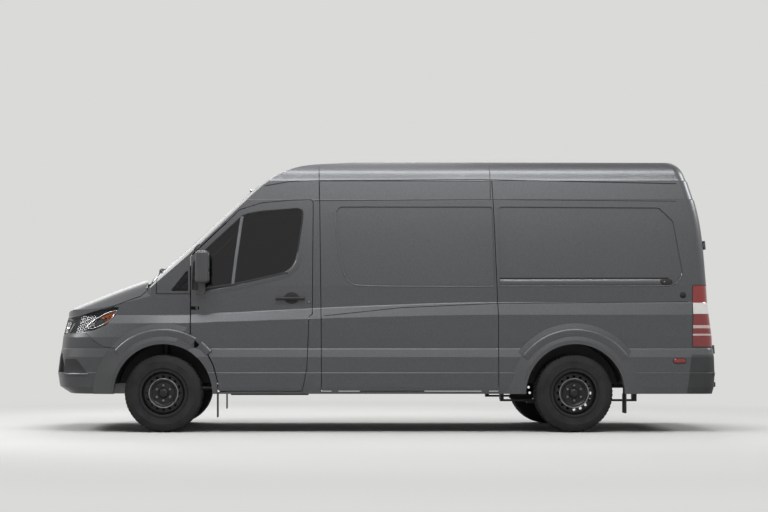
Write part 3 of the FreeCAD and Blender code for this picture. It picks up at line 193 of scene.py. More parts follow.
def metallic_paint(name, low, high, flake_mm=4.0):
    # real flakes are 0.02 mm across, so they are drawn far coarser to show at all
    made, tree, shader = new_material(name, low, 0.75, 0.42)
    place = add_node(tree, "ShaderNodeTexCoord").outputs["Object"]
    flakes = add_node(tree, "ShaderNodeTexVoronoi", inputs={"Scale": 1000 / flake_mm},
                      links={"Vector": place})
    tint = add_node(tree, "ShaderNodeSeparateColor", links={"Color": flakes.outputs["Color"]})
    two_tone(tree, shader, tint.outputs[0], low, high)
    haze = add_node(tree, "ShaderNodeTexNoise", inputs={"Scale": 1.4, "Detail": 3.0}, links={"Vector": place})
    rough = add_node(tree, "ShaderNodeMapRange", inputs={"To Min": 0.38, "To Max": 0.46},
                     links={"Value": haze.outputs["Fac"]})
    tree.links.new(rough.outputs["Result"], shader.inputs["Roughness"])
    raised(tree, shader, tint.outputs[1], 0.05, 0.3)
    shader.inputs["Coat Weight"].default_value = 0.4
    shader.inputs["Coat Roughness"].default_value = 0.2
    return made


def dress(material, *names):
    """Gives CAD nodes a material on every slot."""
    for name in names:
        mesh = NODES[name].data
        mesh.materials.clear()
        mesh.materials.append(material)


def both(*names):
    return ["%s_%s" % (name, side) for name in names for side in SIDES]


PAINT = metallic_paint("satin metallic paint", "#4A4B4D", "#56575A")
dress(PAINT, "bonnet", "roof_panel", "rear_frame",
      *both("side_panel", "wing", "front_door", "sliding_door", "rear_door"))


# Bumper skin and mirror shells: moulded plastic, sprayed in the body colour. Over plastic the coat lies a
# little softer and darker than on steel, and it has no flake sparkle.

def uneven(name, low, high, metallic, roughness, patches, relief, distortion=0.0):
    """A surface that drifts between two colours over patches (size in mm, detail), under a fine relief
    (noise scale, detail, strength, depth in mm)."""
    made, tree, shader = new_material(name, low, metallic, roughness)
    place = add_node(tree, "ShaderNodeTexCoord").outputs["Object"]
    mottled(tree, shader, place, low, high, *patches)
    scale, detail, strength, depth_mm = relief
    fine = add_node(tree, "ShaderNodeTexNoise", links={"Vector": place},
                    inputs={"Scale": scale, "Detail": detail, "Distortion": distortion})
    raised(tree, shader, fine.outputs["Fac"], strength, depth_mm)
    return made, shader


SPRAYED, shader = uneven("sprayed bumper plastic", "#3F4042", "#474849", 0.4, 0.45, (350, 2.0),
                         (220, 2.0, 0.04, 0.4))
shader.inputs["Coat Weight"].default_value = 0.25
shader.inputs["Coat Roughness"].default_value = 0.3
dress(SPRAYED, "front_bumper", *both("mirror"))


# Black mouldings: grille, intake, cowl tray, wheel boxes, rear bumper, handles. Injection-moulded plastic
# with an etched grain of about a millimetre, faded a little on the faces that the sun reaches.

def grained_plastic(name, low, high, grain_mm=1.6, roughness=0.55):
    made, tree, shader = new_material(name, low, 0.0, roughness)
    place = add_node(tree, "ShaderNodeTexCoord").outputs["Object"]
    mottled(tree, shader, place, low, high, 260, 4.0)
    grain = add_node(tree, "ShaderNodeTexVoronoi", {"feature": "DISTANCE_TO_EDGE"},
                     {"Scale": 1000 / grain_mm}, {"Vector": place})
    raised(tree, shader, grain.outputs["Distance"], 0.35, 0.25)
    shader.inputs["Specular IOR Level"].default_value = 0.4
    return made


MOULDED = grained_plastic("grained black plastic", "#1A1A1B", "#202122")
GREY_MOULDED = grained_plastic("grained dark grey plastic", "#2B2C2D", "#343536", 2.2, 0.6)
dress(MOULDED, "cowl", "wheel_boxes", "fuel_tank", "sliding_door_handle", "grille", "intake",
      *both("door_handle"))
dress(GREY_MOULDED, "rear_bumper")


# Inner paint: the floor, partition, sills and cab frame carry the body's primer and a thin matt coat.
# It is scuffed and dusty where feet and cargo rub it.

def primer_coat(name, low, high):
    return uneven(name, low, high, 0.1, 0.6, (180, 5.0), (45, 6.0, 0.12, 0.4), 0.6)[0]


PRIMER = primer_coat("matt inner coat", "#3B3C3E", "#47484A")
dress(PRIMER, "cab_frame", "floor", "partition")


# Running gear: black-painted steel, cast iron hubs, an aluminium engine, and a dull steel exhaust with a
# straw tint near its welds. All of it is rough, with road dirt in the hollows.

def rough_metal(name, low, high, metallic, roughness, cast_mm):
    return uneven(name, low, high, metallic, roughness, (120, 5.0), (1000 / cast_mm, 3.0, 0.25, 0.6))[0]


BLACK_STEEL = rough_metal("black painted steel", "#17171A", "#26251F", 0.2, 0.55, 6)
IRON = rough_metal("sand-cast iron", "#3A3633", "#4A423B", 0.75, 0.62, 3)
ALUMINIUM = rough_metal("cast aluminium", "#7E7F80", "#8F9090", 0.85, 0.5, 3)
EXHAUST_STEEL = rough_metal("heat-dulled steel", "#77706A", "#8B8780", 0.9, 0.42, 8)
dress(BLACK_STEEL, "chassis_frame", "front_suspension", "rear_axle", "seat_bases")
dress(IRON, *both("knuckle"))
dress(ALUMINIUM, "powertrain")
dress(EXHAUST_STEEL, "exhaust")


# Window glass: laminated windscreen and toughened side panes, tinted dark grey-green. A black printed edge
# hides the glue, and a rubber seal lies around each opening.

AHEAD, LEFT, UP = Vector((1, 0, 0)), Vector((0, 1, 0)), Vector((0, 0, 1))


def tinted_glass(name, tint, alpha):
    """Thin dark glass, partly seen through, with the gloss of a polished pane."""
    made, _, shader = new_material(name, tint, 0.0, 0.02)
    shader.inputs["Alpha"].default_value = alpha
    return made


def piece(name, shape, material, body="van_body", angle=35):
    """A finished piece in place, from (verts, faces), smooth except at edges sharper than the angle."""
    made = object_of(name, *shape)
    mesh = made.data
    shell = bmesh.new()
    shell.from_mesh(mesh)
    bmesh.ops.remove_doubles(shell, verts=shell.verts, dist=1e-6)
    bmesh.ops.recalc_face_normals(shell, faces=shell.faces)
    shell.to_mesh(mesh)
    shell.free()
    mesh.shade_smooth()
    mesh.set_sharp_from_angle(angle=math.radians(angle))
    mesh.materials.append(material)
    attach(made, body)
    return made


def merged(parts):
    """Several (verts, faces) pairs as one."""
    verts, faces = [], []
    for some_verts, some_faces in parts:
        base = len(verts)
        verts += some_verts
        faces += [tuple(base + i for i in face) for face in some_faces]
    return verts, faces


def swept(path, outs, section, closed):
    """A section of (across, out) points carried along a path; across is to the left as seen from outside."""
    verts, faces = [], []
    count, wide = len(path), len(section)
    for i, (point, out) in enumerate(zip(path, outs)):
        before = path[i - 1] if closed or i else path[i]
        after = path[(i + 1) % count] if closed or i < count - 1 else path[i]
        along = (after - before).normalized()
        out = (out - along * out.dot(along)).normalized()
        across = out.cross(along)
        verts += [point + across * a + out * h for a, h in section]
    for i in range(count if closed else count - 1):
        j = (i + 1) % count
        for k in range(wide):
            m = (k + 1) % wide
            faces.append((i * wide + k, i * wide + m, j * wide + m, j * wide + k))
    if not closed:
        faces.append(tuple(range(wide)))
        faces.append(tuple((count - 1) * wide + k for k in range(wide)))
    return verts, faces


def even(points, step, closed):
    """The same line with points an even step apart."""
    ring = list(points) + ([points[0]] if closed else [])
    lengths = [0.0]
    for a, b in zip(ring, ring[1:]):
        lengths.append(lengths[-1] + (b - a).length)
    count = max(3, round(lengths[-1] / step))
    made, k = [], 0
    for i in range(count if closed else count + 1):
        at = lengths[-1] * i / count
        while k < len(ring) - 2 and lengths[k + 1] < at:
            k += 1
        part = (at - lengths[k]) / max(1e-9, lengths[k + 1] - lengths[k])
        made.append(ring[k].lerp(ring[k + 1], min(1.0, max(0.0, part))))
    return made


def rounded(points, closed=False, times=2):
    """A line or ring with its corners cut over and over, as on a bent trim strip."""
    line = [Vector(p) for p in points]
    for _ in range(times):
        cut = []
        count = len(line)
        for i in range(count if closed else count - 1):
            a, b = line[i], line[(i + 1) % count]
            cut += [a.lerp(b, 0.25), a.lerp(b, 0.75)]
        line = cut if closed else [line[0]] + cut[1:-1] + [line[-1]]
    return line


def cad_mesh(*names):
    """The CAD nodes' triangles, joined up."""
    mesh = bmesh.new()
    for name in names:
        mesh.from_mesh(NODES[name].data)
    bmesh.ops.remove_doubles(mesh, verts=mesh.verts, dist=1e-5)
    return mesh


def skin(*names):
    """A search tree of the CAD nodes' surfaces, to lay pieces on."""
    return BVHTree.FromBMesh(cad_mesh(*names))


def struck(tree, start, way):
    """Where a ray from a place meets the tree's surface, and which way is out there."""
    hit, normal, _, _ = tree.ray_cast(Vector(start), way)
    if hit is None:
        raise RuntimeError("nothing struck from %.3f %.3f %.3f" % tuple(start))
    return hit, normal if normal.dot(way) < 0 else -normal


def round_section(radius, sides):
    """The section of a round rod."""
    angles = [2 * math.pi * k / sides for k in range(sides)]
    return [(radius * math.cos(a), radius * math.sin(a)) for a in angles]


def on_side(tree, x, z, side):
    """The point of the body side at a place seen from the side, and which way is out."""
    for aside in (0, 0.004, -0.004, 0.009, -0.009, 0.016, -0.016):
        hit, normal, _, _ = tree.ray_cast(Vector((x + aside, side * 1.7, z)), Vector((0, -side, 0)))
        if hit is not None and abs(hit.y) > 0.5:
            return Vector((x, hit.y, z)), normal if normal.y * side > 0 else -normal
    raise RuntimeError("no body side at %.3f %.3f" % (x, z))


def softened(line):
    """A line seen from the side, with its corners cut."""
    return [(p.x, p.z) for p in rounded([(x, 0, z) for x, z in line], False, 2)]


def laid_on_side(tree, line, side, step=0.03):
    """Points an even step apart along a line seen from the side, laid on the body, and their ways out."""
    points = even([Vector((x, 0, z)) for x, z in line], step, False)
    laid = [on_side(tree, p.x, p.z, side) for p in points]
    return [p for p, _ in laid], [n for _, n in laid]


def edge_loops(node, facing, least=0.3):
    """The outlines of a CAD node's faces that look one way, each with the way out at its points."""
    mesh = cad_mesh(node)
    kept = set(f for f in mesh.faces if f.normal.dot(facing) > least)
    rim = [e for e in mesh.edges if sum(f in kept for f in e.link_faces) == 1]
    at = {}
    for edge in rim:
        for vert in edge.verts:
            at.setdefault(vert, []).append(edge)
    loops, seen = [], set()
    for edge in rim:
        if edge in seen:
            continue
        seen.add(edge)
        first, here = edge.verts
        line = [first]
        while here is not first:
            line.append(here)
            onward = [e for e in at[here] if e not in seen]
            if not onward:
                break
            seen.add(onward[0])
            here = onward[0].other_vert(here)
        loops.append(line)
    made = []
    for line in loops:
        points = [v.co.copy() for v in line]
        outs = [sum((f.normal for f in v.link_faces if f in kept), Vector()).normalized() for v in line]
        turn = sum((a.cross(b) for a, b in zip(points, points[1:] + points[:1])), Vector())
        if turn.dot(sum(outs, Vector())) < 0:
            points.reverse()
            outs.reverse()
        made.append((points, outs))
    mesh.free()
    return sorted(made, key=lambda pair: -sum((b - a).length for a, b in zip(pair[0], pair[0][1:])))


def follow(points, outs, step, closed=True):
    """An outline evened out, with the nearest way out for each new point."""
    line = even(points, step, closed)
    ways = []
    for p in line:
        nearest = min(range(len(points)), key=lambda i: (points[i] - p).length_squared)
        ways.append(outs[nearest])
    return line, ways


SCREEN_GLASS = tinted_glass("laminated windscreen", "#0C1110", 0.40)
DOOR_GLASS = tinted_glass("dark toughened glass", "#060707", 0.90)
dress(SCREEN_GLASS, "fixed_glass")
dress(DOOR_GLASS, *both("door_glass"))
RUBBER = grained_plastic("black rubber seal", "#121213", "#18191A", 2.0, 0.7)
FRIT = new_material("black printed edge of the glass", "#0B0B0C", 0.0, 0.18)[0]

# a soft-edged strip: it tucks under the sheet on its outer side and lies on the glass on its inner side
SEAL = [(-0.004, -0.006), (-0.004, 0.0005), (0.001, 0.003), (0.009, 0.003), (0.014, 0.0), (0.014, -0.006)]
for side, sign in SIDES.items():
    loops = edge_loops("door_glass_" + side, Vector((0, sign, 0)))
    points, outs = follow(*loops[0], 0.02)
    seal = swept([p + n * 0.0015 for p, n in zip(points, outs)], outs, SEAL, True)
    piece("door_window_seal_" + side, seal, RUBBER, "front_door_" + side)

for number, facing in enumerate((Vector((0.6, 0, 0.8)), LEFT, -LEFT)):
    for points, outs in edge_loops("fixed_glass", facing, 0.6):
        middle = sum(points, Vector()) / len(points)
        if number and abs(middle.y) < 0.7 or not number and abs(middle.y) > 0.3:
            continue
        name = ("windscreen", "quarter_window_left", "quarter_window_right")[number]
        line, ways = follow(points, outs, 0.025)
        seal = swept([p + n * 0.0015 for p, n in zip(line, ways)], ways, SEAL, True)
        piece(name + "_seal", seal, RUBBER)
        if not number:
            band = [(0.012, 0.0), (0.012, 0.0012), (0.046, 0.0012), (0.05, 0.0003), (0.05, 0.0)]
            edge = swept([p + n * 0.0002 for p, n in zip(line, ways)], ways, band, True)
            piece("windscreen_printed_edge", edge, FRIT)
        break


# The bar across each cab door window, between its fixed front corner and the pane that winds down: a folded
# steel channel painted black, coloured grey as a painted highlight for its sheen, and the wide rubber wiper
# seal along the sill of the window.

# painted highlight: the black channel is given the grey of its sheen
BAR_SHEEN_GREY = grained_plastic("black channel painted grey as painted sheen", "#55575A", "#626467", 2.0, 0.5)
PILLAR_LINE = [(1.287, 1.930), (1.300, 1.860), (1.345, 1.540), (1.371, 1.324)]
SILL_LINE = [(0.880, 1.424), (1.0405, 1.386), (1.3535, 1.315), (1.655, 1.272)]
BAR = [(-0.013, -0.003), (-0.013, 0.005), (-0.009, 0.008), (0.009, 0.008), (0.013, 0.005), (0.013, -0.003)]
SILL_STRIP = [(-0.012, -0.006), (-0.013, 0.005), (-0.006, 0.009), (0.008, 0.0075), (0.013, 0.003),
              (0.013, -0.006)]
for side, sign in SIDES.items():
    bar = swept(*laid_on_side(skin("door_glass_" + side), PILLAR_LINE, sign), BAR, False)
    piece("window_bar_" + side, bar, BAR_SHEEN_GREY, "front_door_" + side)
    outer = skin("door_glass_" + side, "front_door_" + side)
    strip = swept(*laid_on_side(outer, SILL_LINE, sign), SILL_STRIP, False)
    piece("window_sill_seal_" + side, strip, RUBBER, "front_door_" + side)


# Tyres: a steel-belted road tyre of 235 mm section. Four grooves run round it, slanted cuts cross its
# shoulders and ribs, and fine rings stand on its sidewall, which has no words.

TREAD_PITCHES = 60
PITCH_STEPS = (0.0, 0.42, 0.52, 0.90)
# half of the section, from the bead out to the middle of the tread: (radius, distance from the wheel's
# middle)
TYRE_WALL = [(0.2065, 0.1035), (0.212, 0.1065), (0.219, 0.1085), (0.226, 0.1105), (0.228, 0.1120),
             (0.232, 0.1120), (0.234, 0.1115), (0.248, 0.1140), (0.262, 0.1155), (0.276, 0.1150),
             (0.278, 0.1160), (0.281, 0.1160), (0.283, 0.1142), (0.297, 0.1120), (0.308, 0.1080),
             (0.318, 0.1040), (0.328, 0.0985), (0.336, 0.0930)]
TREAD_LINE = [(0.342, 0.088), (0.3452, 0.082), (0.3480, 0.072), (0.3488, 0.060), (0.3408, 0.0595),
              (0.3408, 0.0515), (0.3493, 0.051), (0.3500, 0.036), (0.3504, 0.025), (0.3420, 0.0245),
              (0.3420, 0.0165), (0.3506, 0.016), (0.3508, 0.006), (0.3509, 0.0)]


def tread_radius(radius, along, place):
    """How far the rubber stands out at one place of the tread, with the cuts across it."""
    width = abs(along)
    cut = PITCH_STEPS[1] < place < 0.95
    if width > 0.0595:
        return radius - (0.0065 if cut else 0.0)
    if 0.0245 < width < 0.0515 or width < 0.0165:
        return radius - (0.0045 if place > 0.6 and width > 0.012 else 0.0)
    return radius


def tyre_shape():
    half = TYRE_WALL + TREAD_LINE
    section = half + [(r, -y) for r, y in half[::-1][1:]]
    inner = [(0.205, -0.095), (0.240, -0.098), (0.300, -0.094), (0.330, -0.070), (0.334, 0.0), (0.330, 0.070),
             (0.300, 0.094), (0.240, 0.098), (0.205, 0.095)]
    ring = [(r, y, True) for r, y in section] + [(r, y, False) for r, y in inner]
    verts, faces = [], []
    turns = TREAD_PITCHES * len(PITCH_STEPS)
    for i in range(turns):
        place = PITCH_STEPS[i % 4]
        base = (i // 4 + place) / TREAD_PITCHES * 2 * math.pi
        for radius, along, outside in ring:
            lean = 0.0
            if outside and radius > 0.337:
                lean = abs(along) * 0.55
                radius = tread_radius(radius, along, place + 0.01)
            verts.append(Vector((radius * math.cos(base + lean), along, radius * math.sin(base + lean))))
    wide = len(ring)
    for i in range(turns):
        j = (i + 1) % turns
        for k in range(wide):
            m = (k + 1) % wide
            faces.append((i * wide + k, j * wide + k, j * wide + m, i * wide + m))
    return verts, faces


HUB_OUT, HUB_HEIGHT = 0.855, 0.351
RUBBER_TREAD, shader = uneven("tyre rubber", "#171717", "#232323", 0.0, 0.75, (90, 5.0), (400, 3.0, 0.2, 0.4))
shader.inputs["Specular IOR Level"].default_value = 0.35
TYRE_VERTS, TYRE_FACES = tyre_shape()
WHEELS = [(end, side, FRONT_AXLE if end == "front" else REAR_AXLE, sign)
          for end in ("front", "rear") for side, sign in SIDES.items()]
for end, side, axle, sign in WHEELS:
    hub = Vector((axle, sign * HUB_OUT, HUB_HEIGHT))
    tail = end + "_" + side
    # a hair smaller than the solid, so that it stays inside the part's box
    tyre = piece("road_tyre_" + tail, ([hub + v * 0.9995 for v in TYRE_VERTS], TYRE_FACES), RUBBER_TREAD,
                 "wheel_" + tail, 30)
    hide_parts("tyre_%s_%s" % (end, side))


# Wheels: pressed steel, painted black; the raised ring inside the vent holes is coloured light grey as a
# painted highlight for the light its edges catch. Six nuts hold each one, and a plain cap closes the hub; a
# short rubber valve stands in the dish.

def wheel_paint(name, low, high, roughness):
    return uneven(name, low, high, 0.35, roughness, (60, 5.0), (300, 2.0, 0.1, 0.3))[0]


RIM_BLACK = wheel_paint("black wheel paint", "#151517", "#1D1D1F", 0.42)
# the raised ring's light grey is a painted highlight, for the light that the edges of the black wheel catch
RIM_HIGHLIGHT_GREY = wheel_paint("wheel paint lightened as painted highlight", "#66686A", "#85878A", 0.4)
NUT_STEEL = wheel_paint("zinc-plated nuts", "#6B6A66", "#85847E", 0.38)
dress(RIM_BLACK, *["rim_%s_%s" % (end, side) for end, side, _, _ in WHEELS])


def turned(profile, steps, centre=(0, 0)):
    """A profile of (radius, along y) turned about the wheel's axis, closed on itself."""
    verts, faces = [], []
    for i in range(steps):
        angle = 2 * math.pi * i / steps
        for radius, along in profile:
            verts.append(Vector((centre[0] + radius * math.cos(angle), along,
                                 centre[1] + radius * math.sin(angle))))
    wide = len(profile)
    for i in range(steps):
        j = (i + 1) % steps
        for k in range(wide):
            m = (k + 1) % wide
            faces.append((i * wide + k, i * wide + m, j * wide + m, j * wide + k))
    return verts, faces


RING_SECTION = [(0.1235, 0.0805), (0.1235, 0.0845), (0.1265, 0.0872), (0.1315, 0.0872), (0.1340, 0.0840),
                (0.1340, 0.0790)]
CAP_SECTION = [(0.0, 0.066), (0.034, 0.066), (0.044, 0.069), (0.0445, 0.076), (0.040, 0.086), (0.030, 0.093),
               (0.014, 0.0965), (0.0, 0.097)]
NUT_SECTION = [(0.0, 0.069), (0.0125, 0.069), (0.0125, 0.084), (0.0105, 0.088), (0.0095, 0.092),
               (0.006, 0.096), (0.0, 0.0965)]
VALVE_SECTION = [(0.0, 0.060), (0.0055, 0.060), (0.0055, 0.082), (0.0040, 0.084), (0.0040, 0.094),
                 (0.0, 0.095)]
BOLT_CIRCLE = 0.068
for end, side, axle, sign in WHEELS:
    hub = Vector((axle, sign * HUB_OUT, HUB_HEIGHT))
    tail = end + "_" + side
    body = "wheel_" + tail

    def at_hub(shape):
        verts, faces = shape
        return [hub + Vector((v.x, v.y * sign, v.z)) for v in verts], faces

    # the raised ring takes the painted highlight colour
    piece("wheel_ring_" + tail, at_hub(turned(RING_SECTION, 96)), RIM_HIGHLIGHT_GREY, body)
    piece("hub_cap_" + tail, at_hub(turned(CAP_SECTION, 48)), RIM_BLACK, body)
    nuts = []
    for i in range(6):
        angle = 2 * math.pi * (i + 0.5) / 6
        nuts.append(turned(NUT_SECTION, 6, (BOLT_CIRCLE * math.cos(angle), BOLT_CIRCLE * math.sin(angle))))
    piece("wheel_nuts_" + tail, at_hub(merged(nuts)), NUT_STEEL, body, 20)
    valve = turned(VALVE_SECTION, 12, (0.158 * math.cos(0.6), 0.158 * math.sin(0.6)))
    piece("tyre_valve_" + tail, at_hub(valve), RUBBER, body)


# Headlamps: a clear polycarbonate cover over a dark housing. Inside are a bright bowl for the main beam, an
# almond-shaped ring with the amber indicator in its rear half, and upright light guides near the grille.

def clear_plastic(name):
    """A hard-coated clear cover, seen through almost whole."""
    made, _, shader = new_material(name, "#15181A", 0.0, 0.06)
    shader.inputs["Alpha"].default_value = 0.20
    shader.inputs["Specular IOR Level"].default_value = 0.35
    return made


def thin_cover(node, facing, side, thick, lift=0.0):
    """The outer skin of a CAD lamp on one side, as a sheet of its own."""
    mesh = cad_mesh(node)
    drop = [f for f in mesh.faces if f.normal.dot(facing) < 0.12 or abs(f.normal.y) < 0.004
            or f.calc_center_median().y * side < 0]
    bmesh.ops.delete(mesh, geom=drop, context="FACES")
    mesh.normal_update()
    count = len(mesh.verts)
    outer = [v.co + v.normal * lift for v in mesh.verts]
    inner = [v.co - v.normal * (thick - lift) for v in mesh.verts]
    index = {v: i for i, v in enumerate(mesh.verts)}
    faces = []
    for face in mesh.faces:
        ring = [index[v] for v in face.verts]
        faces.append(tuple(ring))
        faces.append(tuple(count + i for i in reversed(ring)))
    for edge in mesh.edges:
        if len(edge.link_faces) == 1:
            a, b = [index[v] for v in edge.verts]
            faces.append((a, b, count + b, count + a))
    mesh.free()
    return outer + inner, faces


CHROME = new_material("vapour-plated reflector", "#E6E7E8", 1.0, 0.12)[0]
LAMP_HOUSING = new_material("dark lamp housing", "#1E1F22", 0.2, 0.5)[0]
LAMP_COVER = clear_plastic("clear polycarbonate")
GUIDE = new_material("frosted light guide", "#DDE1E4", 0.0, 0.25)[0]
AMBER = new_material("amber indicator lens", "#B4560A", 0.0, 0.2)[0]
AMBER.node_tree.nodes["Principled BSDF"].inputs["Coat Weight"].default_value = 0.6
DARK_LENS = new_material("dark blue-black lens", "#14161E", 0.2, 0.1)[0]
ALMOND = [(2.690, 0.936), (2.688, 0.962), (2.650, 0.998), (2.590, 1.036), (2.520, 1.063), (2.450, 1.086),
          (2.412, 1.096), (2.432, 1.062), (2.472, 1.016), (2.524, 0.975), (2.600, 0.945), (2.650, 0.932)]
AMBER_END = 2.575
for side, sign in SIDES.items():
    facing = Vector((0.75, sign * 0.62, 0.2)).normalized()
    cover = thin_cover("headlamps", facing, sign, 0.0028)
    piece("headlamp_cover_" + side, cover, LAMP_COVER, angle=50)
    housing = thin_cover("headlamps", facing, sign, 0.004, -0.030)
    piece("headlamp_housing_" + side, housing, LAMP_HOUSING, angle=50)
    back = skin("headlamps")
    line = rounded([(x, 0, z) for x, z in ALMOND], True, 2)
    points, outs = [], []
    for p in even(line, 0.012, True):
        hit, out = on_side(back, p.x, p.z, sign)
        points.append(hit - out * 0.020)
        outs.append(out)
    piece("headlamp_ring_" + side, swept(points, outs, round_section(0.006, 8), True), CHROME,
          angle=60)
    dark, amber = ([], []), ([], [])
    for k, p in enumerate(points):
        q = points[(k + 1) % len(points)]
        into, x, z = (amber, 2.50, 1.020) if (p.x + q.x) / 2 < AMBER_END else (dark, 2.63, 0.975)
        base = len(into[0])
        deep = -outs[k] * 0.007
        hit, out = on_side(back, x, z, sign)
        into[0].extend([p + deep, q + deep, hit - out * 0.024])
        into[1].append((base, base + 1, base + 2))
    piece("headlamp_amber_" + side, amber, AMBER, angle=60)
    piece("headlamp_dark_" + side, dark, DARK_LENS, angle=60)


def spun(centre, out, profile, steps):
    """A profile of (radius, height) turned about a line through the centre."""
    out = out.normalized()
    right = out.cross(UP).normalized()
    up = right.cross(out)
    verts, faces, wide = [], [], len(profile)
    for i in range(steps):
        angle = 2 * math.pi * i / steps
        ray = right * math.cos(angle) + up * math.sin(angle)
        verts += [centre + ray * r + out * h for r, h in profile]
        j = (i + 1) % steps
        faces += [(i * wide + k, j * wide + k, j * wide + k + 1, i * wide + k + 1) for k in range(wide - 1)]
    return verts, faces


def dish(centre, out, radius, depth, steps=40, rings=8):
    """A round bowl that opens one way, with a rolled lip."""
    profile = [(radius * k / rings, -depth * (1 - (k / rings) ** 2)) for k in range(rings + 1)]
    profile += [(radius * 1.06, 0.002), (radius * 1.10, -0.002)]
    profile += [(radius * 1.08 * k / rings, -depth * (1 - (k / rings) ** 2) - 0.004)
                for k in reversed(range(rings + 1))]
    return spun(centre, out, profile, steps)


def dome(centre, out, radius, height, steps=32, rings=6):
    """A round cap with a flat back."""
    angles = [math.pi / 2 * k / rings for k in range(rings + 1)]
    profile = [(0, 0)] + [(radius * math.cos(a), height * math.sin(a)) for a in angles]
    return spun(centre, out, profile, steps)


nose = skin("headlamps", "grille", "front_bumper", "bonnet")


def on_nose(tree, y, z):
    return struck(tree, (4.0, y, z), -AHEAD)


for side, sign in SIDES.items():
    hit, out = on_nose(nose, sign * 0.640, 0.955)
    piece("headlamp_bowl_" + side, dish(hit - out * 0.012, out, 0.043, 0.03), CHROME,
          angle=60)
    piece("headlamp_bulb_" + side, dome(hit - out * 0.034, out, 0.022, 0.018), GUIDE,
          angle=60)
    guides = []
    for y in (0.548, 0.575, 0.720):
        line = [Vector((0, sign * (y + 0.012 * t), 0.905 + 0.075 * t)) for t in (0, 0.25, 0.5, 0.75, 1.0)]
        laid = [on_nose(nose, p.y, p.z) for p in line]
        guides.append(swept([p - n * 0.016 for p, n in laid], [n for _, n in laid],
                            [(-0.004, -0.004), (-0.004, 0.004), (0.004, 0.004), (0.004, -0.004)], False))
    piece("headlamp_guides_" + side, merged(guides), GUIDE, angle=60)
for side in SIDES:
    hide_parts("headlamps")


# Tail lamps: one upright moulding on each side, red with a white reversing band and two thin white lines.
# Its rows of prisms catch the light, and a black foot joins it to the body.

def banded_lens():
    # (height where a band ends, colour), from the bottom up; the heights were measured in the photograph
    bands = [(0.862, "#74070A"), (0.878, "#B9A7A5"), (0.929, "#74070A"), (0.957, "#B9A5A2"),
             (1.056, "#74070A"), (1.154, "#C4C3C1"), (1.400, "#7E090B")]
    made, tree, shader = new_material("red and white lamp lens", "#74070A", 0.0, 0.16)
    place = add_node(tree, "ShaderNodeTexCoord").outputs["Object"]
    apart = add_node(tree, "ShaderNodeSeparateXYZ", links={"Vector": place})
    span = add_node(tree, "ShaderNodeMapRange", inputs={"From Min": 0.7, "From Max": 1.4},
                    links={"Value": apart.outputs["Z"]})
    ramp = add_node(tree, "ShaderNodeValToRGB", links={"Fac": span.outputs["Result"]})
    ramp.color_ramp.interpolation = "CONSTANT"
    ramp.color_ramp.elements[0].color = linear(bands[0][1])
    ramp.color_ramp.elements[1].position = (bands[0][0] - 0.7) / 0.7
    ramp.color_ramp.elements[1].color = linear(bands[1][1])
    for (low, _), (_, colour) in zip(bands[1:], bands[2:]):
        ramp.color_ramp.elements.new((low - 0.7) / 0.7).color = linear(colour)
    tree.links.new(ramp.outputs["Color"], shader.inputs["Base Color"])
    prism_mm = 9
    rows = add_node(tree, "ShaderNodeTexVoronoi", {"distance": "CHEBYCHEV"},
                    {"Scale": 1000 / prism_mm, "Randomness": 0.0}, {"Vector": place})
    raised(tree, shader, rows.outputs["Distance"], 0.5, 1.2)
    shader.inputs["Coat Weight"].default_value = 1.0
    shader.inputs["Coat Roughness"].default_value = 0.03
    return made


dress(banded_lens(), "tail_lamps")
for side, sign in SIDES.items():
    facing = Vector((-0.6, sign * 0.8, 0)).normalized()
    lamp_edge = [loop for loop in edge_loops("tail_lamps", facing, 0.35)
                 if sum(p.y for p in loop[0]) * sign > 0]
    line, ways = follow(*lamp_edge[0], 0.02)
    gasket = [(-0.003, -0.006), (-0.003, 0.0012), (0.003, 0.0022), (0.005, 0.0), (0.005, -0.006)]
    piece("tail_lamp_gasket_" + side, swept([p - n * 0.0005 for p, n in zip(line, ways)], ways, gasket, True),
          RUBBER)


# Mirrors: a tall sprayed shell, with a flat glass and a round-cornered wide-angle glass below
# it, both on the side that faces back, and a slim amber repeater in front.

def slab(centre, right, up, out, width, height, thick, corner, rise=0.0):
    """A plate with round corners, its face crowned by the rise."""
    steps = 6
    ring = []
    for cx, cy, start in ((1, 1, 0), (-1, 1, 90), (-1, -1, 180), (1, -1, 270)):
        for k in range(steps + 1):
            angle = math.radians(start + 90 * k / steps)
            ring.append((cx * (width / 2 - corner) + corner * math.cos(angle),
                         cy * (height / 2 - corner) + corner * math.sin(angle)))
    verts = [centre + right * a + up * b for a, b in ring]
    verts += [centre + right * a + up * b + out * (thick * 0.75) for a, b in ring]
    inset = min(corner, thick) * 0.5 / max(width, height) * 2
    verts += [centre + right * a * (1 - inset) + up * b * (1 - inset) + out * thick for a, b in ring]
    verts += [centre + right * a * 0.5 + up * b * 0.5 + out * (thick + rise * 0.75) for a, b in ring]
    verts += [centre + out * (thick + rise)]
    n = len(ring)
    faces = [tuple(reversed(range(n)))]
    for level in range(3):
        for k in range(n):
            m = (k + 1) % n
            faces.append((level * n + k, level * n + m, (level + 1) * n + m, (level + 1) * n + k))
    faces += [(3 * n + k, 3 * n + (k + 1) % n, 4 * n) for k in range(n)]
    return verts, faces


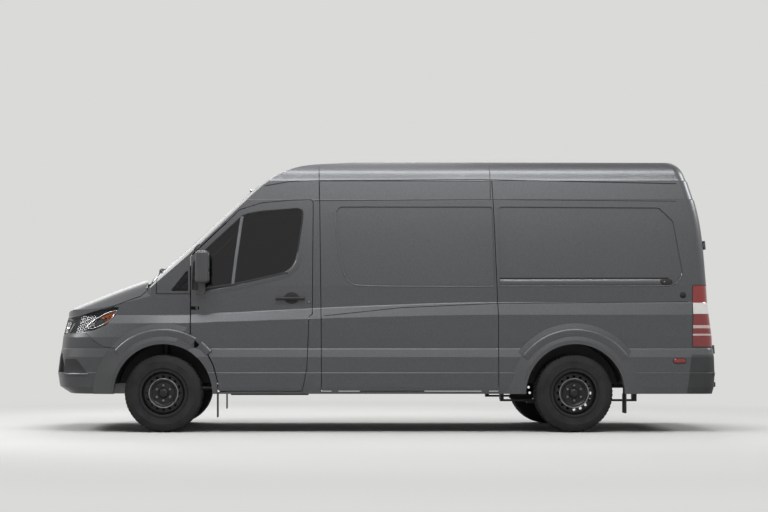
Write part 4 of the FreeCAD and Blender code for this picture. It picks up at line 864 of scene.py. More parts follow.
MIRROR_GLASS = new_material("silvered mirror glass", "#C9CDD0", 1.0, 0.02)[0]
for side, sign in SIDES.items():
    body = "front_door_" + side
    right = LEFT * sign
    back = Vector((FRONT_AXLE - 0.415, sign * 1.105, 1.515))
    frame_plate = slab(back + Vector((0.006, 0, -0.047)), right, UP, -AHEAD, 0.160, 0.262, 0.008, 0.026)
    piece("mirror_frame_" + side, frame_plate, MOULDED, body)
    for part, drop, height, rise in (("glass", 0, 0.150, 0.0006), ("wide_glass", -0.128, 0.082, 0.003)):
        glass = slab(back + Vector((-0.001, 0, drop)), right, UP, -AHEAD, 0.144, height, 0.003, 0.020, rise)
        piece("mirror_%s_%s" % (part, side), glass, MIRROR_GLASS, body)
    ahead = Vector((FRONT_AXLE - 0.299, sign * 1.105, 1.372))
    piece("mirror_repeater_" + side, slab(ahead, -right, UP, AHEAD, 0.120, 0.014, 0.004, 0.006, 0.001), AMBER,
          body)


# Wipers: two pressed steel arms, painted black, each on a capped spindle in the cowl tray, with a rubber
# blade that lies along the foot of the windscreen.

ARM_BLACK = new_material("black arm paint", "#161617", 0.2, 0.45)[0]
SCREEN = skin("fixed_glass")
BLADE = [(-0.003, -0.003), (-0.004, 0.006), (-0.009, 0.010), (-0.007, 0.014), (0.007, 0.014), (0.009, 0.010),
         (0.004, 0.006), (0.003, -0.003)]
ARM = [(-0.007, -0.003), (-0.008, 0.002), (-0.005, 0.006), (0.005, 0.006), (0.008, 0.002), (0.007, -0.003)]


def on_screen(y, z):
    return struck(SCREEN, (3.2, y, z), -AHEAD)


def foot_height(y):
    """The height of the windscreen's foot, which falls off to the sides."""
    return 1.418 - 0.062 * (abs(y) / 0.70) ** 2


wipers, blades, spindles = [], [], []
for low_y, high_y in ((-0.50, 0.06), (0.10, 0.66)):
    line = [Vector((0, low_y + (high_y - low_y) * k / 16, 0)) for k in range(17)]
    laid = [on_screen(p.y, foot_height(p.y) + 0.060 + 0.02 * (p.y - low_y)) for p in line]
    points = [hit + out * 0.004 for hit, out in laid]
    outs = [out for _, out in laid]
    blades.append(swept(points, outs, BLADE, False))
    pivot_y = low_y - 0.03
    start, start_out = on_screen(pivot_y + 0.02, foot_height(pivot_y) + 0.030)
    spindle = start + Vector((0.020, 0, -0.016))
    middle = points[8]
    arm_line = [spindle + Vector((0, 0, 0.012)), start.lerp(middle, 0.25) + start_out * 0.030,
                start.lerp(middle, 0.6) + start_out * 0.030, middle + outs[8] * 0.016]
    arm = even(rounded(arm_line, False, 2), 0.02, False)
    wipers.append(swept(arm, [outs[8]] * len(arm), ARM, False))
    spindles.append(dome(spindle, Vector((0.25, 0, 1)), 0.016, 0.022, 24))
piece("wiper_arms", merged(wipers), ARM_BLACK)
piece("wiper_blades", merged(blades), RUBBER)
piece("wiper_caps", merged(spindles), MOULDED)


# Side seams and pressed lines: the sealed joints of the roof rail, the joints of the side panels across it,
# and a painted shadow line under the shoulder. Each joint is a thin black bead of sealer laid in its groove;
# the shoulder line is a thin black bead laid along the crease as painted shadow, for the shade under its
# overhang.

# also used as painted shade: the shoulder line and the rail slot are black beads that stand for shade
SEALER_AND_SHADE = grained_plastic("black joint sealer and painted shade", "#101011", "#161617", 2.4, 0.75)
RAIL_JOINT = [(1.086, 2.208), (0.861, 2.248), (0.610, 2.257), (-0.845, 2.266), (-2.605, 2.228)]
GUTTER_JOINT = [(0.640, 2.072), (-0.841, 2.084), (-2.600, 2.068)]
# the shoulder line is painted shadow: a black bead for the shade under the crease
SHOULDER_SHADOW_LINE = [(0.560, 1.040), (-0.120, 1.112), (-0.984, 1.152), (-2.690, 1.165)]
PANEL_JOINTS = [0.599, -0.935]
OUTER_SKIN = skin("roof_panel", "rear_frame", *both("side_panel", "wing", "sliding_door"))


def plate(hit, out, width, height, thick, corner, rise=0.0):
    """A round-cornered plate on a surface, upright and square to the way out."""
    right = UP.cross(out).normalized()
    return slab(hit, right, out.cross(right), out, width, height, thick, corner, rise)


def strip_on(tree, line, side, section, step=0.03):
    """A strip of one section along a line on the body side."""
    return swept(*laid_on_side(tree, line, side, step), section, False)


def bead(half_width, height):
    """The section of a low rounded strip."""
    return [(-half_width, -0.002), (-half_width, height * 0.4), (-half_width * 0.4, height),
            (half_width * 0.4, height), (half_width, height * 0.4), (half_width, -0.002)]


for side, sign in SIDES.items():
    # the third strip, along the shoulder, is a painted shadow line; the others are sealed joints
    lines = [strip_on(OUTER_SKIN, RAIL_JOINT, sign, bead(0.0045, 0.0014)),
             strip_on(OUTER_SKIN, GUTTER_JOINT, sign, bead(0.0030, 0.0010)),
             strip_on(OUTER_SKIN, SHOULDER_SHADOW_LINE, sign, bead(0.0036, 0.0010))]
    lines += [strip_on(OUTER_SKIN, [(x, 2.090), (x, 2.388)], sign, bead(0.0030, 0.0010))
              for x in PANEL_JOINTS]
    piece("joint_sealer_and_shadow_line_" + side, merged(lines), SEALER_AND_SHADE)


# Pressed edges of the two side recesses: a rounded painted lip that catches the light along the lower edge
# and up one end of each recess.

FRONT_LIP = [(0.469, 1.960), (0.448, 1.755), (0.414, 1.536), (0.379, 1.400), (0.325, 1.332), (0.243, 1.302),
             (-0.950, 1.301)]
REAR_LIP = [(-1.010, 1.305), (-2.470, 1.305), (-2.560, 1.312), (-2.618, 1.350), (-2.640, 1.420)]
for side, sign in SIDES.items():
    lips = []
    for outline in (FRONT_LIP, REAR_LIP):
        lips.append(strip_on(OUTER_SKIN, softened(outline), sign, bead(0.0055, 0.0032), 0.02))
    piece("recess_lip_" + side, merged(lips), PAINT, angle=60)


# The cover of the sliding door's middle rail: a painted pressing along the foot of the rear recess, with a
# black bead above it as painted shade, standing for the dark slot in which the door's roller runs, and a
# black stop cap at its rear end.

RAIL_COVER = [(-0.029, -0.003), (-0.029, 0.004), (-0.025, 0.0072), (0.022, 0.0062), (0.027, 0.002),
              (0.027, -0.003)]
for side, sign in SIDES.items():
    cover = strip_on(OUTER_SKIN, [(-1.012, 1.340), (-2.440, 1.342)], sign, RAIL_COVER, 0.05)
    piece("rail_cover_" + side, cover, PAINT, angle=50)
    # a black bead laid on the skin as painted shade, for the shade inside the roller's slot
    slot = strip_on(OUTER_SKIN, [(-1.012, 1.375), (-2.520, 1.377)], sign, bead(0.006, 0.001), 0.05)
    piece("rail_slot_shade_" + side, slot, SEALER_AND_SHADE)
    hit, out = on_side(OUTER_SKIN, -2.500, 1.345, sign)
    right = UP.cross(out).normalized()
    cap = plate(hit - out * 0.002, out, 0.105, 0.050, 0.013, 0.020, 0.001)
    piece("rail_stop_" + side, cap, MOULDED)
    bolt = dome(hit + out * 0.010 - right * 0.02, out, 0.007, 0.004, 16, 4)
    piece("rail_stop_bolt_" + side, bolt, NUT_STEEL)


# The ledge under each cab door window: the door skin swells out below the glass and catches the sky in a
# broad light band, which runs up round the window's rear corner.

LEDGE_LINE = [(0.768, 1.600), (0.781, 1.520), (0.822, 1.452), (0.895, 1.402), (0.990, 1.373), (1.160, 1.334),
              (1.350, 1.291), (1.560, 1.246), (1.680, 1.226)]
LEDGE = [(-0.030, -0.003), (-0.029, 0.0035), (-0.022, 0.0075), (-0.012, 0.0085), (0.018, 0.002),
         (0.026, -0.0005), (0.026, -0.003)]
for side, sign in SIDES.items():
    door_skin = skin("front_door_" + side)
    points, outs = laid_on_side(door_skin, softened(LEDGE_LINE), sign, 0.02)
    section = [(a * sign, h) for a, h in LEDGE]
    if sign < 0:
        section.reverse()
    piece("window_ledge_" + side, swept(points, outs, section, False), PAINT, "front_door_" + side,
          60)


# Small side fittings: a rubber buffer that stops the open rear door, a red marker lamp in a black frame ahead
# of the rear bumper, and a low red reflector in the bumper's corner.

RED_LENS = new_material("red marker lens", "#7C0A0C", 0.0, 0.15)[0]
RED_LENS.node_tree.nodes["Principled BSDF"].inputs["Coat Weight"].default_value = 0.8
BUMPER_SKIN = skin("rear_bumper")


def plate_on(tree, x, z, side, width, height, thick, corner, rise):
    """A round-cornered plate that lies on the body side."""
    hit, out = on_side(tree, x, z, side)
    return plate(hit - out * 0.0015, out, width, height, thick, corner, rise)


for side, sign in SIDES.items():
    hit, out = on_side(OUTER_SKIN, -2.645, 1.225, sign)
    foot = dome(hit - out * 0.001, out, 0.030, 0.006, 40, 6)
    knob = dome(hit + out * 0.003, out, 0.019, 0.009, 32, 6)
    piece("door_buffer_" + side, merged([foot, knob]), RUBBER)
    piece("side_marker_frame_" + side, plate_on(OUTER_SKIN, -2.605, 0.640, sign, 0.122, 0.050, 0.006, 0.022,
                                                0.001), MOULDED)
    piece("side_marker_" + side, plate_on(OUTER_SKIN, -2.605, 0.640, sign, 0.106, 0.036, 0.0105, 0.017,
                                          0.003), RED_LENS)
    piece("low_reflector_" + side, plate_on(BUMPER_SKIN, -2.930, 0.520, sign, 0.060, 0.032, 0.005, 0.008,
                                            0.001), RED_LENS)


# Door handles: beside the moulded grip and its dish, each cab door has a steel key barrel with a black
# surround and a slot.

for side, sign in SIDES.items():
    door_skin = skin("front_door_" + side)
    hit, out = on_side(door_skin, 0.692, 1.160, sign)
    ring = dome(hit - out * 0.001, out, 0.014, 0.004, 32, 5)
    piece("lock_surround_" + side, ring, MOULDED, "front_door_" + side)
    barrel = dome(hit + out * 0.0015, out, 0.0092, 0.0035, 28, 5)
    piece("lock_barrel_" + side, barrel, NUT_STEEL, "front_door_" + side)
    slot = plate(hit + out * 0.0035, out, 0.0018, 0.010, 0.0018, 0.0008)
    piece("lock_slot_" + side, slot, MOULDED, "front_door_" + side)


# Seats: a single driver's seat and a double bench. Foam pads in a black woven cover, crowned, with sewn
# channels across them, a corded seam round each face, and headrests on two steel rods.

def woven_cloth(name, low, high, thread_mm=4.0):
    # real threads lie 0.8 mm apart, so they are drawn five times as coarse to show at all
    made, tree, shader = new_material(name, low, 0.0, 0.9)
    place = add_node(tree, "ShaderNodeTexCoord").outputs["Object"]
    apart = add_node(tree, "ShaderNodeSeparateXYZ", links={"Vector": place})
    length = add_node(tree, "ShaderNodeMath", {"operation": "ADD"}, links={0: apart.outputs["X"],
                                                                          1: apart.outputs["Z"]})
    turns = 2 * math.pi * 1000 / thread_mm
    warp = add_node(tree, "ShaderNodeMath", {"operation": "MULTIPLY"}, {1: turns}, {0: apart.outputs["Y"]})
    weft = add_node(tree, "ShaderNodeMath", {"operation": "MULTIPLY"}, {1: turns}, {0: length.outputs[0]})
    warp = add_node(tree, "ShaderNodeMath", {"operation": "SINE"}, links={0: warp.outputs[0]})
    weft = add_node(tree, "ShaderNodeMath", {"operation": "SINE"}, links={0: weft.outputs[0]})
    weave = add_node(tree, "ShaderNodeMath", {"operation": "MULTIPLY"}, links={0: warp.outputs[0],
                                                                              1: weft.outputs[0]})
    tone = add_node(tree, "ShaderNodeMapRange", inputs={"From Min": -1.0, "From Max": 1.0},
                    links={"Value": weave.outputs[0]})
    two_tone(tree, shader, tone.outputs["Result"], low, high)
    raised(tree, shader, tone.outputs["Result"], 0.6, 0.8)
    shader.inputs["Sheen Weight"].default_value = 0.35
    shader.inputs["Sheen Roughness"].default_value = 0.5
    return made


SEAT_CLOTH = woven_cloth("black woven seat cloth", "#161618", "#28282B")
SEAT_CENTRE = woven_cloth("grey woven seat centre", "#202124", "#3A3B40", 6.0)
CORD = woven_cloth("seam cord", "#101011", "#1B1B1D", 3.0)
BASE_SIDE = [(-1.236, 0.886), (-0.800, 0.888), (-0.712, 0.912), (-0.702, 0.955), (-0.738, 0.996),
             (-1.112, 0.974), (-1.236, 0.974)]
BACK_SIDE = [(-1.254, 1.000), (-1.134, 0.990), (-1.204, 1.490), (-1.248, 1.548), (-1.292, 1.548),
             (-1.318, 1.500)]
HEAD_SIDE = [(-1.312, 1.570), (-1.238, 1.572), (-1.232, 1.660), (-1.242, 1.722), (-1.264, 1.732),
             (-1.300, 1.730), (-1.314, 1.700)]


def pad_block(outline, low, high, inset):
    """The foam before it is covered: the side outline, a little shrunk, run across the seat."""
    middle = Vector((sum(x for x, _ in outline) / len(outline), sum(z for _, z in outline) / len(outline)))
    ring = []
    for x, z in outline:
        towards = Vector((x, z)) - middle
        shrunk = middle + towards * (1 - inset / towards.length)
        ring.append((FRONT_AXLE + shrunk.x, shrunk.y))
    count = len(ring)
    verts = [(x, low + inset, z) for x, z in ring] + [(x, high - inset, z) for x, z in ring]
    faces = [tuple(range(count)), tuple(reversed(range(count, 2 * count)))]
    faces += [(k, count + k, count + (k + 1) % count, (k + 1) % count) for k in range(count)]
    return verts, faces


def fix_modifiers(thing):
    """Makes what the modifiers show the object's own plain mesh, and takes them off."""
    shown = bpy.data.meshes.new_from_object(thing.evaluated_get(bpy.context.evaluated_depsgraph_get()))
    thing.modifiers.clear()
    thing.data = shown


CLOTH_FRAMES = 16


def stuffed(name, outline, low, high, voxel, cap):
    """The covered pad: blown up as cloth under pressure, with no point moved further than the cap."""
    pad = object_of(name, *pad_block(outline, low, high, 0.009))
    shell = bmesh.new()
    shell.from_mesh(pad.data)
    bmesh.ops.recalc_face_normals(shell, faces=shell.faces)
    bmesh.ops.bevel(shell, geom=shell.edges[:], offset=0.022, segments=3, affect="EDGES")
    shell.to_mesh(pad.data)
    shell.free()
    remesh = pad.modifiers.new("even cloth", "REMESH")
    remesh.mode = "VOXEL"
    remesh.voxel_size = voxel
    fix_modifiers(pad)
    start = [v.co.copy() for v in pad.data.vertices]
    moved = start
    cloth = pad.modifiers.new("cover under pressure", "CLOTH")
    cloth.settings.use_pressure = True
    cloth.settings.uniform_pressure_force = 4
    cloth.settings.effector_weights.gravity = 0
    cloth.settings.quality = 4
    cloth.point_cache.frame_start = 1
    cloth.point_cache.frame_end = CLOTH_FRAMES
    for step in range(1, CLOTH_FRAMES + 1):
        bpy.context.scene.frame_set(step)
    blown = pad.evaluated_get(bpy.context.evaluated_depsgraph_get()).to_mesh()
    moved = [v.co.copy() for v in blown.vertices]
    pad.evaluated_get(bpy.context.evaluated_depsgraph_get()).to_mesh_clear()
    pad.modifiers.clear()
    bpy.context.scene.frame_set(1)
    for vert, a, b in zip(pad.data.vertices, start, moved):
        shift = b - a
        vert.co = a + shift * min(1.0, cap / max(shift.length, 1e-9))
    finer = pad.modifiers.new("one finer step", "SUBSURF")
    finer.levels = finer.render_levels = 1
    fix_modifiers(pad)
    return pad


def sewn(pad, channels, across, centre_low, centre_high, facing):
    """Presses the sewn channels in, raises the outer bolsters, and gives the middle its lighter cloth."""
    mesh = pad.data
    facing = facing.normalized()
    ways = [vert.normal.copy() for vert in mesh.vertices]
    for vert, way in zip(mesh.vertices, ways):
        front = max(0.0, way.dot(facing))
        if front < 0.3:
            continue
        along = vert.co.dot(across)
        inside = centre_low < vert.co.y < centre_high
        deep = 0.0
        for line in channels:
            deep += 0.007 * math.exp(-((along - line) / 0.007) ** 2) * inside
        for edge in (centre_low, centre_high):
            deep += 0.008 * math.exp(-((vert.co.y - edge) / 0.007) ** 2)
        lift = 0.0 if inside else 0.010
        vert.co += facing * front * (lift - deep - (0.004 if inside else 0.0))
    mesh.materials.clear()
    mesh.materials.append(SEAT_CLOTH)
    mesh.materials.append(SEAT_CENTRE)
    for face in mesh.polygons:
        face.use_smooth = True
        if face.normal.dot(facing) > 0.3 and centre_low < face.center.y < centre_high:
            face.material_index = 1


def seam_cord(name, pad, out, level):
    """A corded seam round one face of a pad, at a level over its middle."""
    tree = BVHTree.FromObject(pad, bpy.context.evaluated_depsgraph_get())
    middle = sum((v.co for v in pad.data.vertices), Vector()) / len(pad.data.vertices)
    up = out.cross(LEFT).normalized()
    centre = middle + out * level
    line, outs = [], []
    for k in range(96):
        angle = 2 * math.pi * k / 96
        ray = LEFT * math.cos(angle) + up * math.sin(angle)
        hit, normal, _, _ = tree.ray_cast(centre + ray * 1.2, -ray)
        if hit is not None:
            line.append(hit)
            outs.append(normal)
    piece(name, swept(line, outs, round_section(0.0032, 6), True), CORD, angle=60)


BACK_UP = Vector((-0.155, 0, 0.988))
BACK_OUT = Vector((0.988, 0, 0.155))
for seat_name, low, high, heads in (("driver", 0.238, 0.702, (0.470,)),
                                    ("bench", -0.752, 0.142, (-0.540, -0.080))):
    middle = (low + high) / 2
    base = stuffed(seat_name + "_seat_pad", BASE_SIDE, low, high, 0.011, 0.016)
    sewn(base, [FRONT_AXLE - d for d in (0.82, 0.93, 1.04)], AHEAD, low + 0.085, high - 0.085,
         UP)
    back = stuffed(seat_name + "_back_pad", BACK_SIDE, low, high, 0.011, 0.014)
    sewn(back, [Vector((FRONT_AXLE - 1.13, 0, z)).dot(BACK_UP) for z in (1.12, 1.24, 1.36)], BACK_UP,
         low + 0.085, high - 0.085, BACK_OUT)
    pads = [base, back]
    for number, y in enumerate(heads):
        head = stuffed("%s_headrest_%d" % (seat_name, number + 1), HEAD_SIDE, y - 0.120, y + 0.120, 0.010,
                       0.010)
        sewn(head, [], UP, y - 0.075, y + 0.075, AHEAD)
        pads.append(head)
    for pad in pads:
        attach(pad, "van_body")
        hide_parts("seat_cushions")
    seam_cord(seat_name + "_seat_cord", base, UP, 0.020)
    seam_cord(seat_name + "_back_cord", back, BACK_OUT, 0.020)
    rods = []
    for y in heads:
        for shift in (-0.055, 0.055):
            rod = [Vector((FRONT_AXLE - 1.276, y + shift, 1.520 + 0.016 * k)) for k in range(6)]
            rods.append(swept(rod, [AHEAD] * len(rod), round_section(0.006, 12), False))
    piece(seat_name + "_headrest_rods", merged(rods), NUT_STEEL, angle=60)


# Seat belts: woven straps that run from a slot in the door pillar down to the seat's outer side, with a black
# moulded guide above and a buckle on a short stalk at the inner side.

STRAP = woven_cloth("black belt webbing", "#0E0E0F", "#1D1D1F", 5.0)
for name, sign, low_y, buckle_y in (("driver", 1, 0.720, 0.205), ("bench", -1, -0.768, -0.262)):
    top = Vector((FRONT_AXLE - 1.338, sign * 0.800, 1.690))
    line = [top, top.lerp(Vector((FRONT_AXLE - 1.345, low_y, 0.960)), 0.5) + Vector((0.004, 0, 0)),
            Vector((FRONT_AXLE - 1.345, low_y, 0.960)), Vector((FRONT_AXLE - 1.300, low_y, 0.760))]
    path = even(rounded(line, False, 3), 0.03, False)
    strap = [(-0.0235, 0.0), (-0.0225, 0.0007), (0.0225, 0.0007), (0.0235, 0.0), (0.0225, -0.0007),
             (-0.0225, -0.0007)]
    piece(name + "_belt", swept(path, [Vector((0, -sign, 0))] * len(path), strap, False), STRAP,
          angle=60)
    guide = slab(top + Vector((0, sign * 0.012, 0.006)), AHEAD, UP,
                 Vector((0, -sign, 0)), 0.066, 0.050, 0.018, 0.014, 0.001)
    piece(name + "_belt_guide", guide, MOULDED)
    stalk = slab(Vector((FRONT_AXLE - 1.15, buckle_y, 0.985)), AHEAD, UP,
                 Vector((0, sign, 0)), 0.032, 0.110, 0.014, 0.008, 0.001)
    piece(name + "_buckle", stalk, MOULDED)


# Dashboard: soft-touch moulding in two greys. An instrument pod stands behind the wheel with two plain dials,
# a dark screen sits in the middle between round vents, and a lidded box is in front of the passengers.

DASH_SKIN = grained_plastic("soft-touch dashboard skin", "#1C1D1F", "#242527", 1.8, 0.65)
SCREEN_DARK = new_material("dark display glass", "#07080A", 0.0, 0.08)[0]
DIAL_FACE = new_material("printed dial card", "#101113", 0.0, 0.5)[0]
DIAL_MARK = new_material("white dial ink", "#B9BBBD", 0.0, 0.5)[0]
dress(DASH_SKIN, "dashboard")
DASH = skin("dashboard")


def dash_plate(name, y, z, width, height, thick, corner, material):
    hit, out = struck(DASH, (0.9, y, z), AHEAD)
    right = out.cross(UP).normalized()
    shape = slab(hit - out * 0.001, right, right.cross(out), out, width, height, thick, corner, 0.0005)
    piece(name, shape, material)


pod = [(1.548, 1.243), (1.556, 1.316), (1.590, 1.338), (1.700, 1.322), (1.760, 1.296), (1.760, 1.270)]
ring = []
for y, shrink in ((0.315, 0.80), (0.335, 0.96), (0.470, 1.0), (0.605, 0.96), (0.625, 0.80)):
    ring.append([Vector((x, y, 1.262 + (z - 1.262) * shrink)) for x, z in pod])
verts = [v for row in ring for v in row]
wide = len(pod)
faces = [(r * wide + k, r * wide + (k + 1) % wide, (r + 1) * wide + (k + 1) % wide, (r + 1) * wide + k)
         for r in range(len(ring) - 1) for k in range(wide)]
faces += [tuple(range(wide)), tuple((len(ring) - 1) * wide + k for k in range(wide))]
piece("instrument_pod", (verts, faces), DASH_SKIN, angle=50)
FACE_OUT = Vector((-1, 0, 0.15)).normalized()
FACE_RIGHT = FACE_OUT.cross(UP).normalized()
FACE_UP = FACE_RIGHT.cross(FACE_OUT)
dials, marks = [], []
for y in (0.405, 0.535):
    centre = Vector((1.549, y, 1.288))
    dials.append(slab(centre, FACE_RIGHT, FACE_UP, FACE_OUT, 0.082, 0.056, 0.003, 0.027))
    for k in range(9):
        angle = math.radians(215 - 31 * k)
        ray = FACE_RIGHT * math.cos(angle) * 1.25 + FACE_UP * math.sin(angle)
        marks.append(slab(centre + FACE_OUT * 0.003 + ray * 0.0215, ray.normalized(),
                          FACE_OUT.cross(ray).normalized(), FACE_OUT, 0.006, 0.0013, 0.0006, 0.0005))
    needle = FACE_RIGHT * math.cos(2.6) + FACE_UP * math.sin(2.6)
    marks.append(slab(centre + FACE_OUT * 0.003 + needle * 0.010, needle, FACE_OUT.cross(needle).normalized(),
                      FACE_OUT, 0.020, 0.0015, 0.001, 0.0006))
piece("dial_faces", merged(dials), DIAL_FACE)
piece("dial_marks", merged(marks), DIAL_MARK, angle=20)
dash_plate("centre_screen_frame", 0.0, 1.165, 0.280, 0.150, 0.012, 0.014, MOULDED)
dash_plate("centre_screen", 0.0, 1.165, 0.252, 0.122, 0.014, 0.008, SCREEN_DARK)
dash_plate("switch_row", 0.0, 1.055, 0.250, 0.028, 0.006, 0.006, MOULDED)
dash_plate("storage_lid", -0.480, 1.100, 0.430, 0.120, 0.007, 0.018, GREY_MOULDED)
for number, (y, z) in enumerate(((0.700, 1.150), (0.205, 1.160), (-0.205, 1.160), (-0.715, 1.150))):
    hit, out = struck(DASH, (0.9, y, z), AHEAD)
    right = out.cross(UP).normalized()
    up = right.cross(out)
    rim = dome(hit - out * 0.001, out, 0.044, 0.010, 40, 5)
    well = dome(hit + out * 0.0085, out, 0.035, 0.002, 40, 3)
    slats = [slab(hit + out * 0.010 + up * d, right, up, out, 2 * math.sqrt(0.034 ** 2 - d * d), 0.0025,
                  0.004, 0.001) for d in (-0.024, -0.014, -0.004, 0.006, 0.016, 0.026)]
    piece("round_vent_%d" % (number + 1), merged([rim] + slats), MOULDED)
    piece("round_vent_well_%d" % (number + 1), well, SEALER_AND_SHADE)
wheel_centre = Vector((FRONT_AXLE - 0.640, 0.470, 1.120))
wheel_axis = Vector((-0.52, 0, 0.85)).normalized()
boss = dome(wheel_centre - wheel_axis * 0.002, wheel_axis, 0.066, 0.026, 40, 6)
piece("steering_wheel_boss", boss, DASH_SKIN)
lever_foot = slab(Vector((FRONT_AXLE - 0.500, 0.080, 1.010)), LEFT, UP,
                  Vector((-1, 0, 0)), 0.110, 0.130, 0.030, 0.030, 0.004)
piece("gear_lever_gaiter", lever_foot, RUBBER)
lever = [Vector((FRONT_AXLE - 0.528, 0.080, 1.015)), Vector((FRONT_AXLE - 0.580, 0.080, 1.060)),
         Vector((FRONT_AXLE - 0.605, 0.080, 1.125))]
path = even(rounded(lever, False, 3), 0.01, False)
piece("gear_lever", swept(path, [LEFT] * len(path), round_section(0.007, 12), False), NUT_STEEL,
      angle=60)
piece("gear_knob", dome(path[-1] - Vector((0, 0, 0.006)), Vector((-0.2, 0, 1)), 0.022, 0.038, 32, 8),
      DASH_SKIN)


# Grille and bumper dressing: a black lattice stands behind the grille bars, and four parking sensors sit in
# the bumper.

def row_tree():
    """Copies of a piece in rows: its inputs are the counts, the steps and the material."""
    tree = bpy.data.node_groups.new("rows of one piece", "GeometryNodeTree")
    sockets = {}
    for name, kind in (("Piece", "NodeSocketGeometry"), ("Count", "NodeSocketInt"),
                       ("Step", "NodeSocketVector"), ("Rows", "NodeSocketInt"),
                       ("Row Step", "NodeSocketVector"), ("Material", "NodeSocketMaterial")):
        sockets[name] = tree.interface.new_socket(name, in_out="INPUT", socket_type=kind).identifier
    tree.interface.new_socket("Rows of Pieces", in_out="OUTPUT", socket_type="NodeSocketGeometry")
    given = add_node(tree, "NodeGroupInput").outputs
    along = add_node(tree, "GeometryNodeMeshLine", links={"Count": given["Count"], "Offset": given["Step"]})
    first = add_node(tree, "GeometryNodeInstanceOnPoints", links={"Points": along.outputs[0],
                                                                 "Instance": given["Piece"]})
    across = add_node(tree, "GeometryNodeMeshLine", links={"Count": given["Rows"],
                                                           "Offset": given["Row Step"]})
    second = add_node(tree, "GeometryNodeInstanceOnPoints", links={"Points": across.outputs[0],
                                                                  "Instance": first.outputs[0]})
    real = add_node(tree, "GeometryNodeRealizeInstances", links={"Geometry": second.outputs[0]})
    dressed = add_node(tree, "GeometryNodeSetMaterial", links={"Geometry": real.outputs[0],
                                                              "Material": given["Material"]})
    add_node(tree, "NodeGroupOutput", links={"Rows of Pieces": dressed.outputs[0]})
    return tree, sockets


ROW_TREE, ROW_SOCKETS = row_tree()


def in_rows(name, shape, count, step, material, rows=1, row_step=(0, 0, 0)):
    """One piece repeated by the tree, made a plain mesh that rides on the van."""
    holder = object_of(name + "_one", *shape)
    rule = holder.modifiers.new("rows", "NODES")
    rule.node_group = ROW_TREE
    for socket, value in (("Count", count), ("Step", step), ("Rows", rows), ("Row Step", row_step),
                          ("Material", material)):
        rule[ROW_SOCKETS[socket]] = value
    fix_modifiers(holder)
    points = [v.co.copy() for v in holder.data.vertices]
    rings = [tuple(p.vertices) for p in holder.data.polygons]
    bpy.data.objects.remove(holder)
    piece(name, (points, rings), material)


FRONT_SKIN = skin("front_bumper", "grille", "bonnet", "headlamps")
BUMPER_FRONT = skin("front_bumper")
ROD = [(-0.0016, -0.0016), (-0.0016, 0.0016), (0.0016, 0.0016), (0.0016, -0.0016)]
curve = [on_nose(FRONT_SKIN, 0.025 * k, 0.861)[0] - AHEAD * 0.050 for k in range(-18, 19)]
curve = [Vector((p.x, p.y, 0.760)) for p in curve]
lattice = swept(curve, [AHEAD] * len(curve), ROD, False)
in_rows("grille_lattice_bars", lattice, 12, (-0.0030, 0, 0.021), SEALER_AND_SHADE)
posts = []
for p in curve[1:-1]:
    posts.append(swept([p, p + Vector((-0.0330, 0, 0.231))], [AHEAD] * 2, ROD, False))
piece("grille_lattice_posts", merged(posts), SEALER_AND_SHADE)
sensors = []
for y in (-0.600, -0.300, 0.300, 0.600):
    hit, out = on_nose(BUMPER_FRONT, y, 0.440)
    sensors.append(dome(hit - out * 0.0015, out, 0.012, 0.0035, 24, 4))
piece("front_sensors", merged(sensors), MOULDED)


# Rear doors: a moulded pull handle on the right door, a blank plate under a shaded lamp bar on
# the left one, a rubber strip along each closing edge, and a red high stop lamp above.

PLATE_WHITE = new_material("blank white plate", "#C9C9C5", 0.0, 0.35)[0]


def on_back(tree, y, z):
    return struck(tree, (-4.2, y, z), AHEAD)


def back_plate(name, tree, y, z, width, height, lift, thick, corner, material, body):
    hit, out = on_back(tree, y, z)
    piece(name, plate(hit + out * lift, out, width, height, thick, corner, 0.0008), material, body)


LEFT_BACK, RIGHT_BACK = skin("rear_door_left"), skin("rear_door_right")
back_plate("rear_plate_holder", LEFT_BACK, 0.400, 0.900, 0.535, 0.124, -0.002, 0.008, 0.008, MOULDED,
           "rear_door_left")
back_plate("rear_plate", LEFT_BACK, 0.400, 0.900, 0.520, 0.110, 0.005, 0.004, 0.008, PLATE_WHITE,
           "rear_door_left")
back_plate("plate_lamp_bar", LEFT_BACK, 0.400, 1.000, 0.300, 0.034, -0.002, 0.022, 0.010, MOULDED,
           "rear_door_left")
back_plate("rear_handle_dish", RIGHT_BACK, -0.120, 1.080, 0.120, 0.150, -0.002, 0.006, 0.030, MOULDED,
           "rear_door_right")
back_plate("rear_handle_grip", RIGHT_BACK, -0.120, 1.085, 0.034, 0.128, 0.003, 0.022, 0.012, MOULDED,
           "rear_door_right")
for side, sign, tree in (("left", 1, LEFT_BACK), ("right", -1, RIGHT_BACK)):
    laid = [on_back(tree, sign * 0.011, 0.720 + 0.06 * k) for k in range(27)]
    piece("closing_strip_" + side, swept(*zip(*laid), bead(0.0055, 0.003), False), RUBBER,
          "rear_door_" + side)
FRAME_BACK = skin("rear_frame", "roof_panel")
back_plate("high_stop_lamp", FRAME_BACK, 0.0, 2.400, 0.300, 0.030, -0.002, 0.010, 0.010, RED_LENS, "van_body")


# Linings of the doors: a moulded panel with an arm rest and pull on each cab door, and a plain pressed board
# on each rear door, both clipped to the inner sheet.

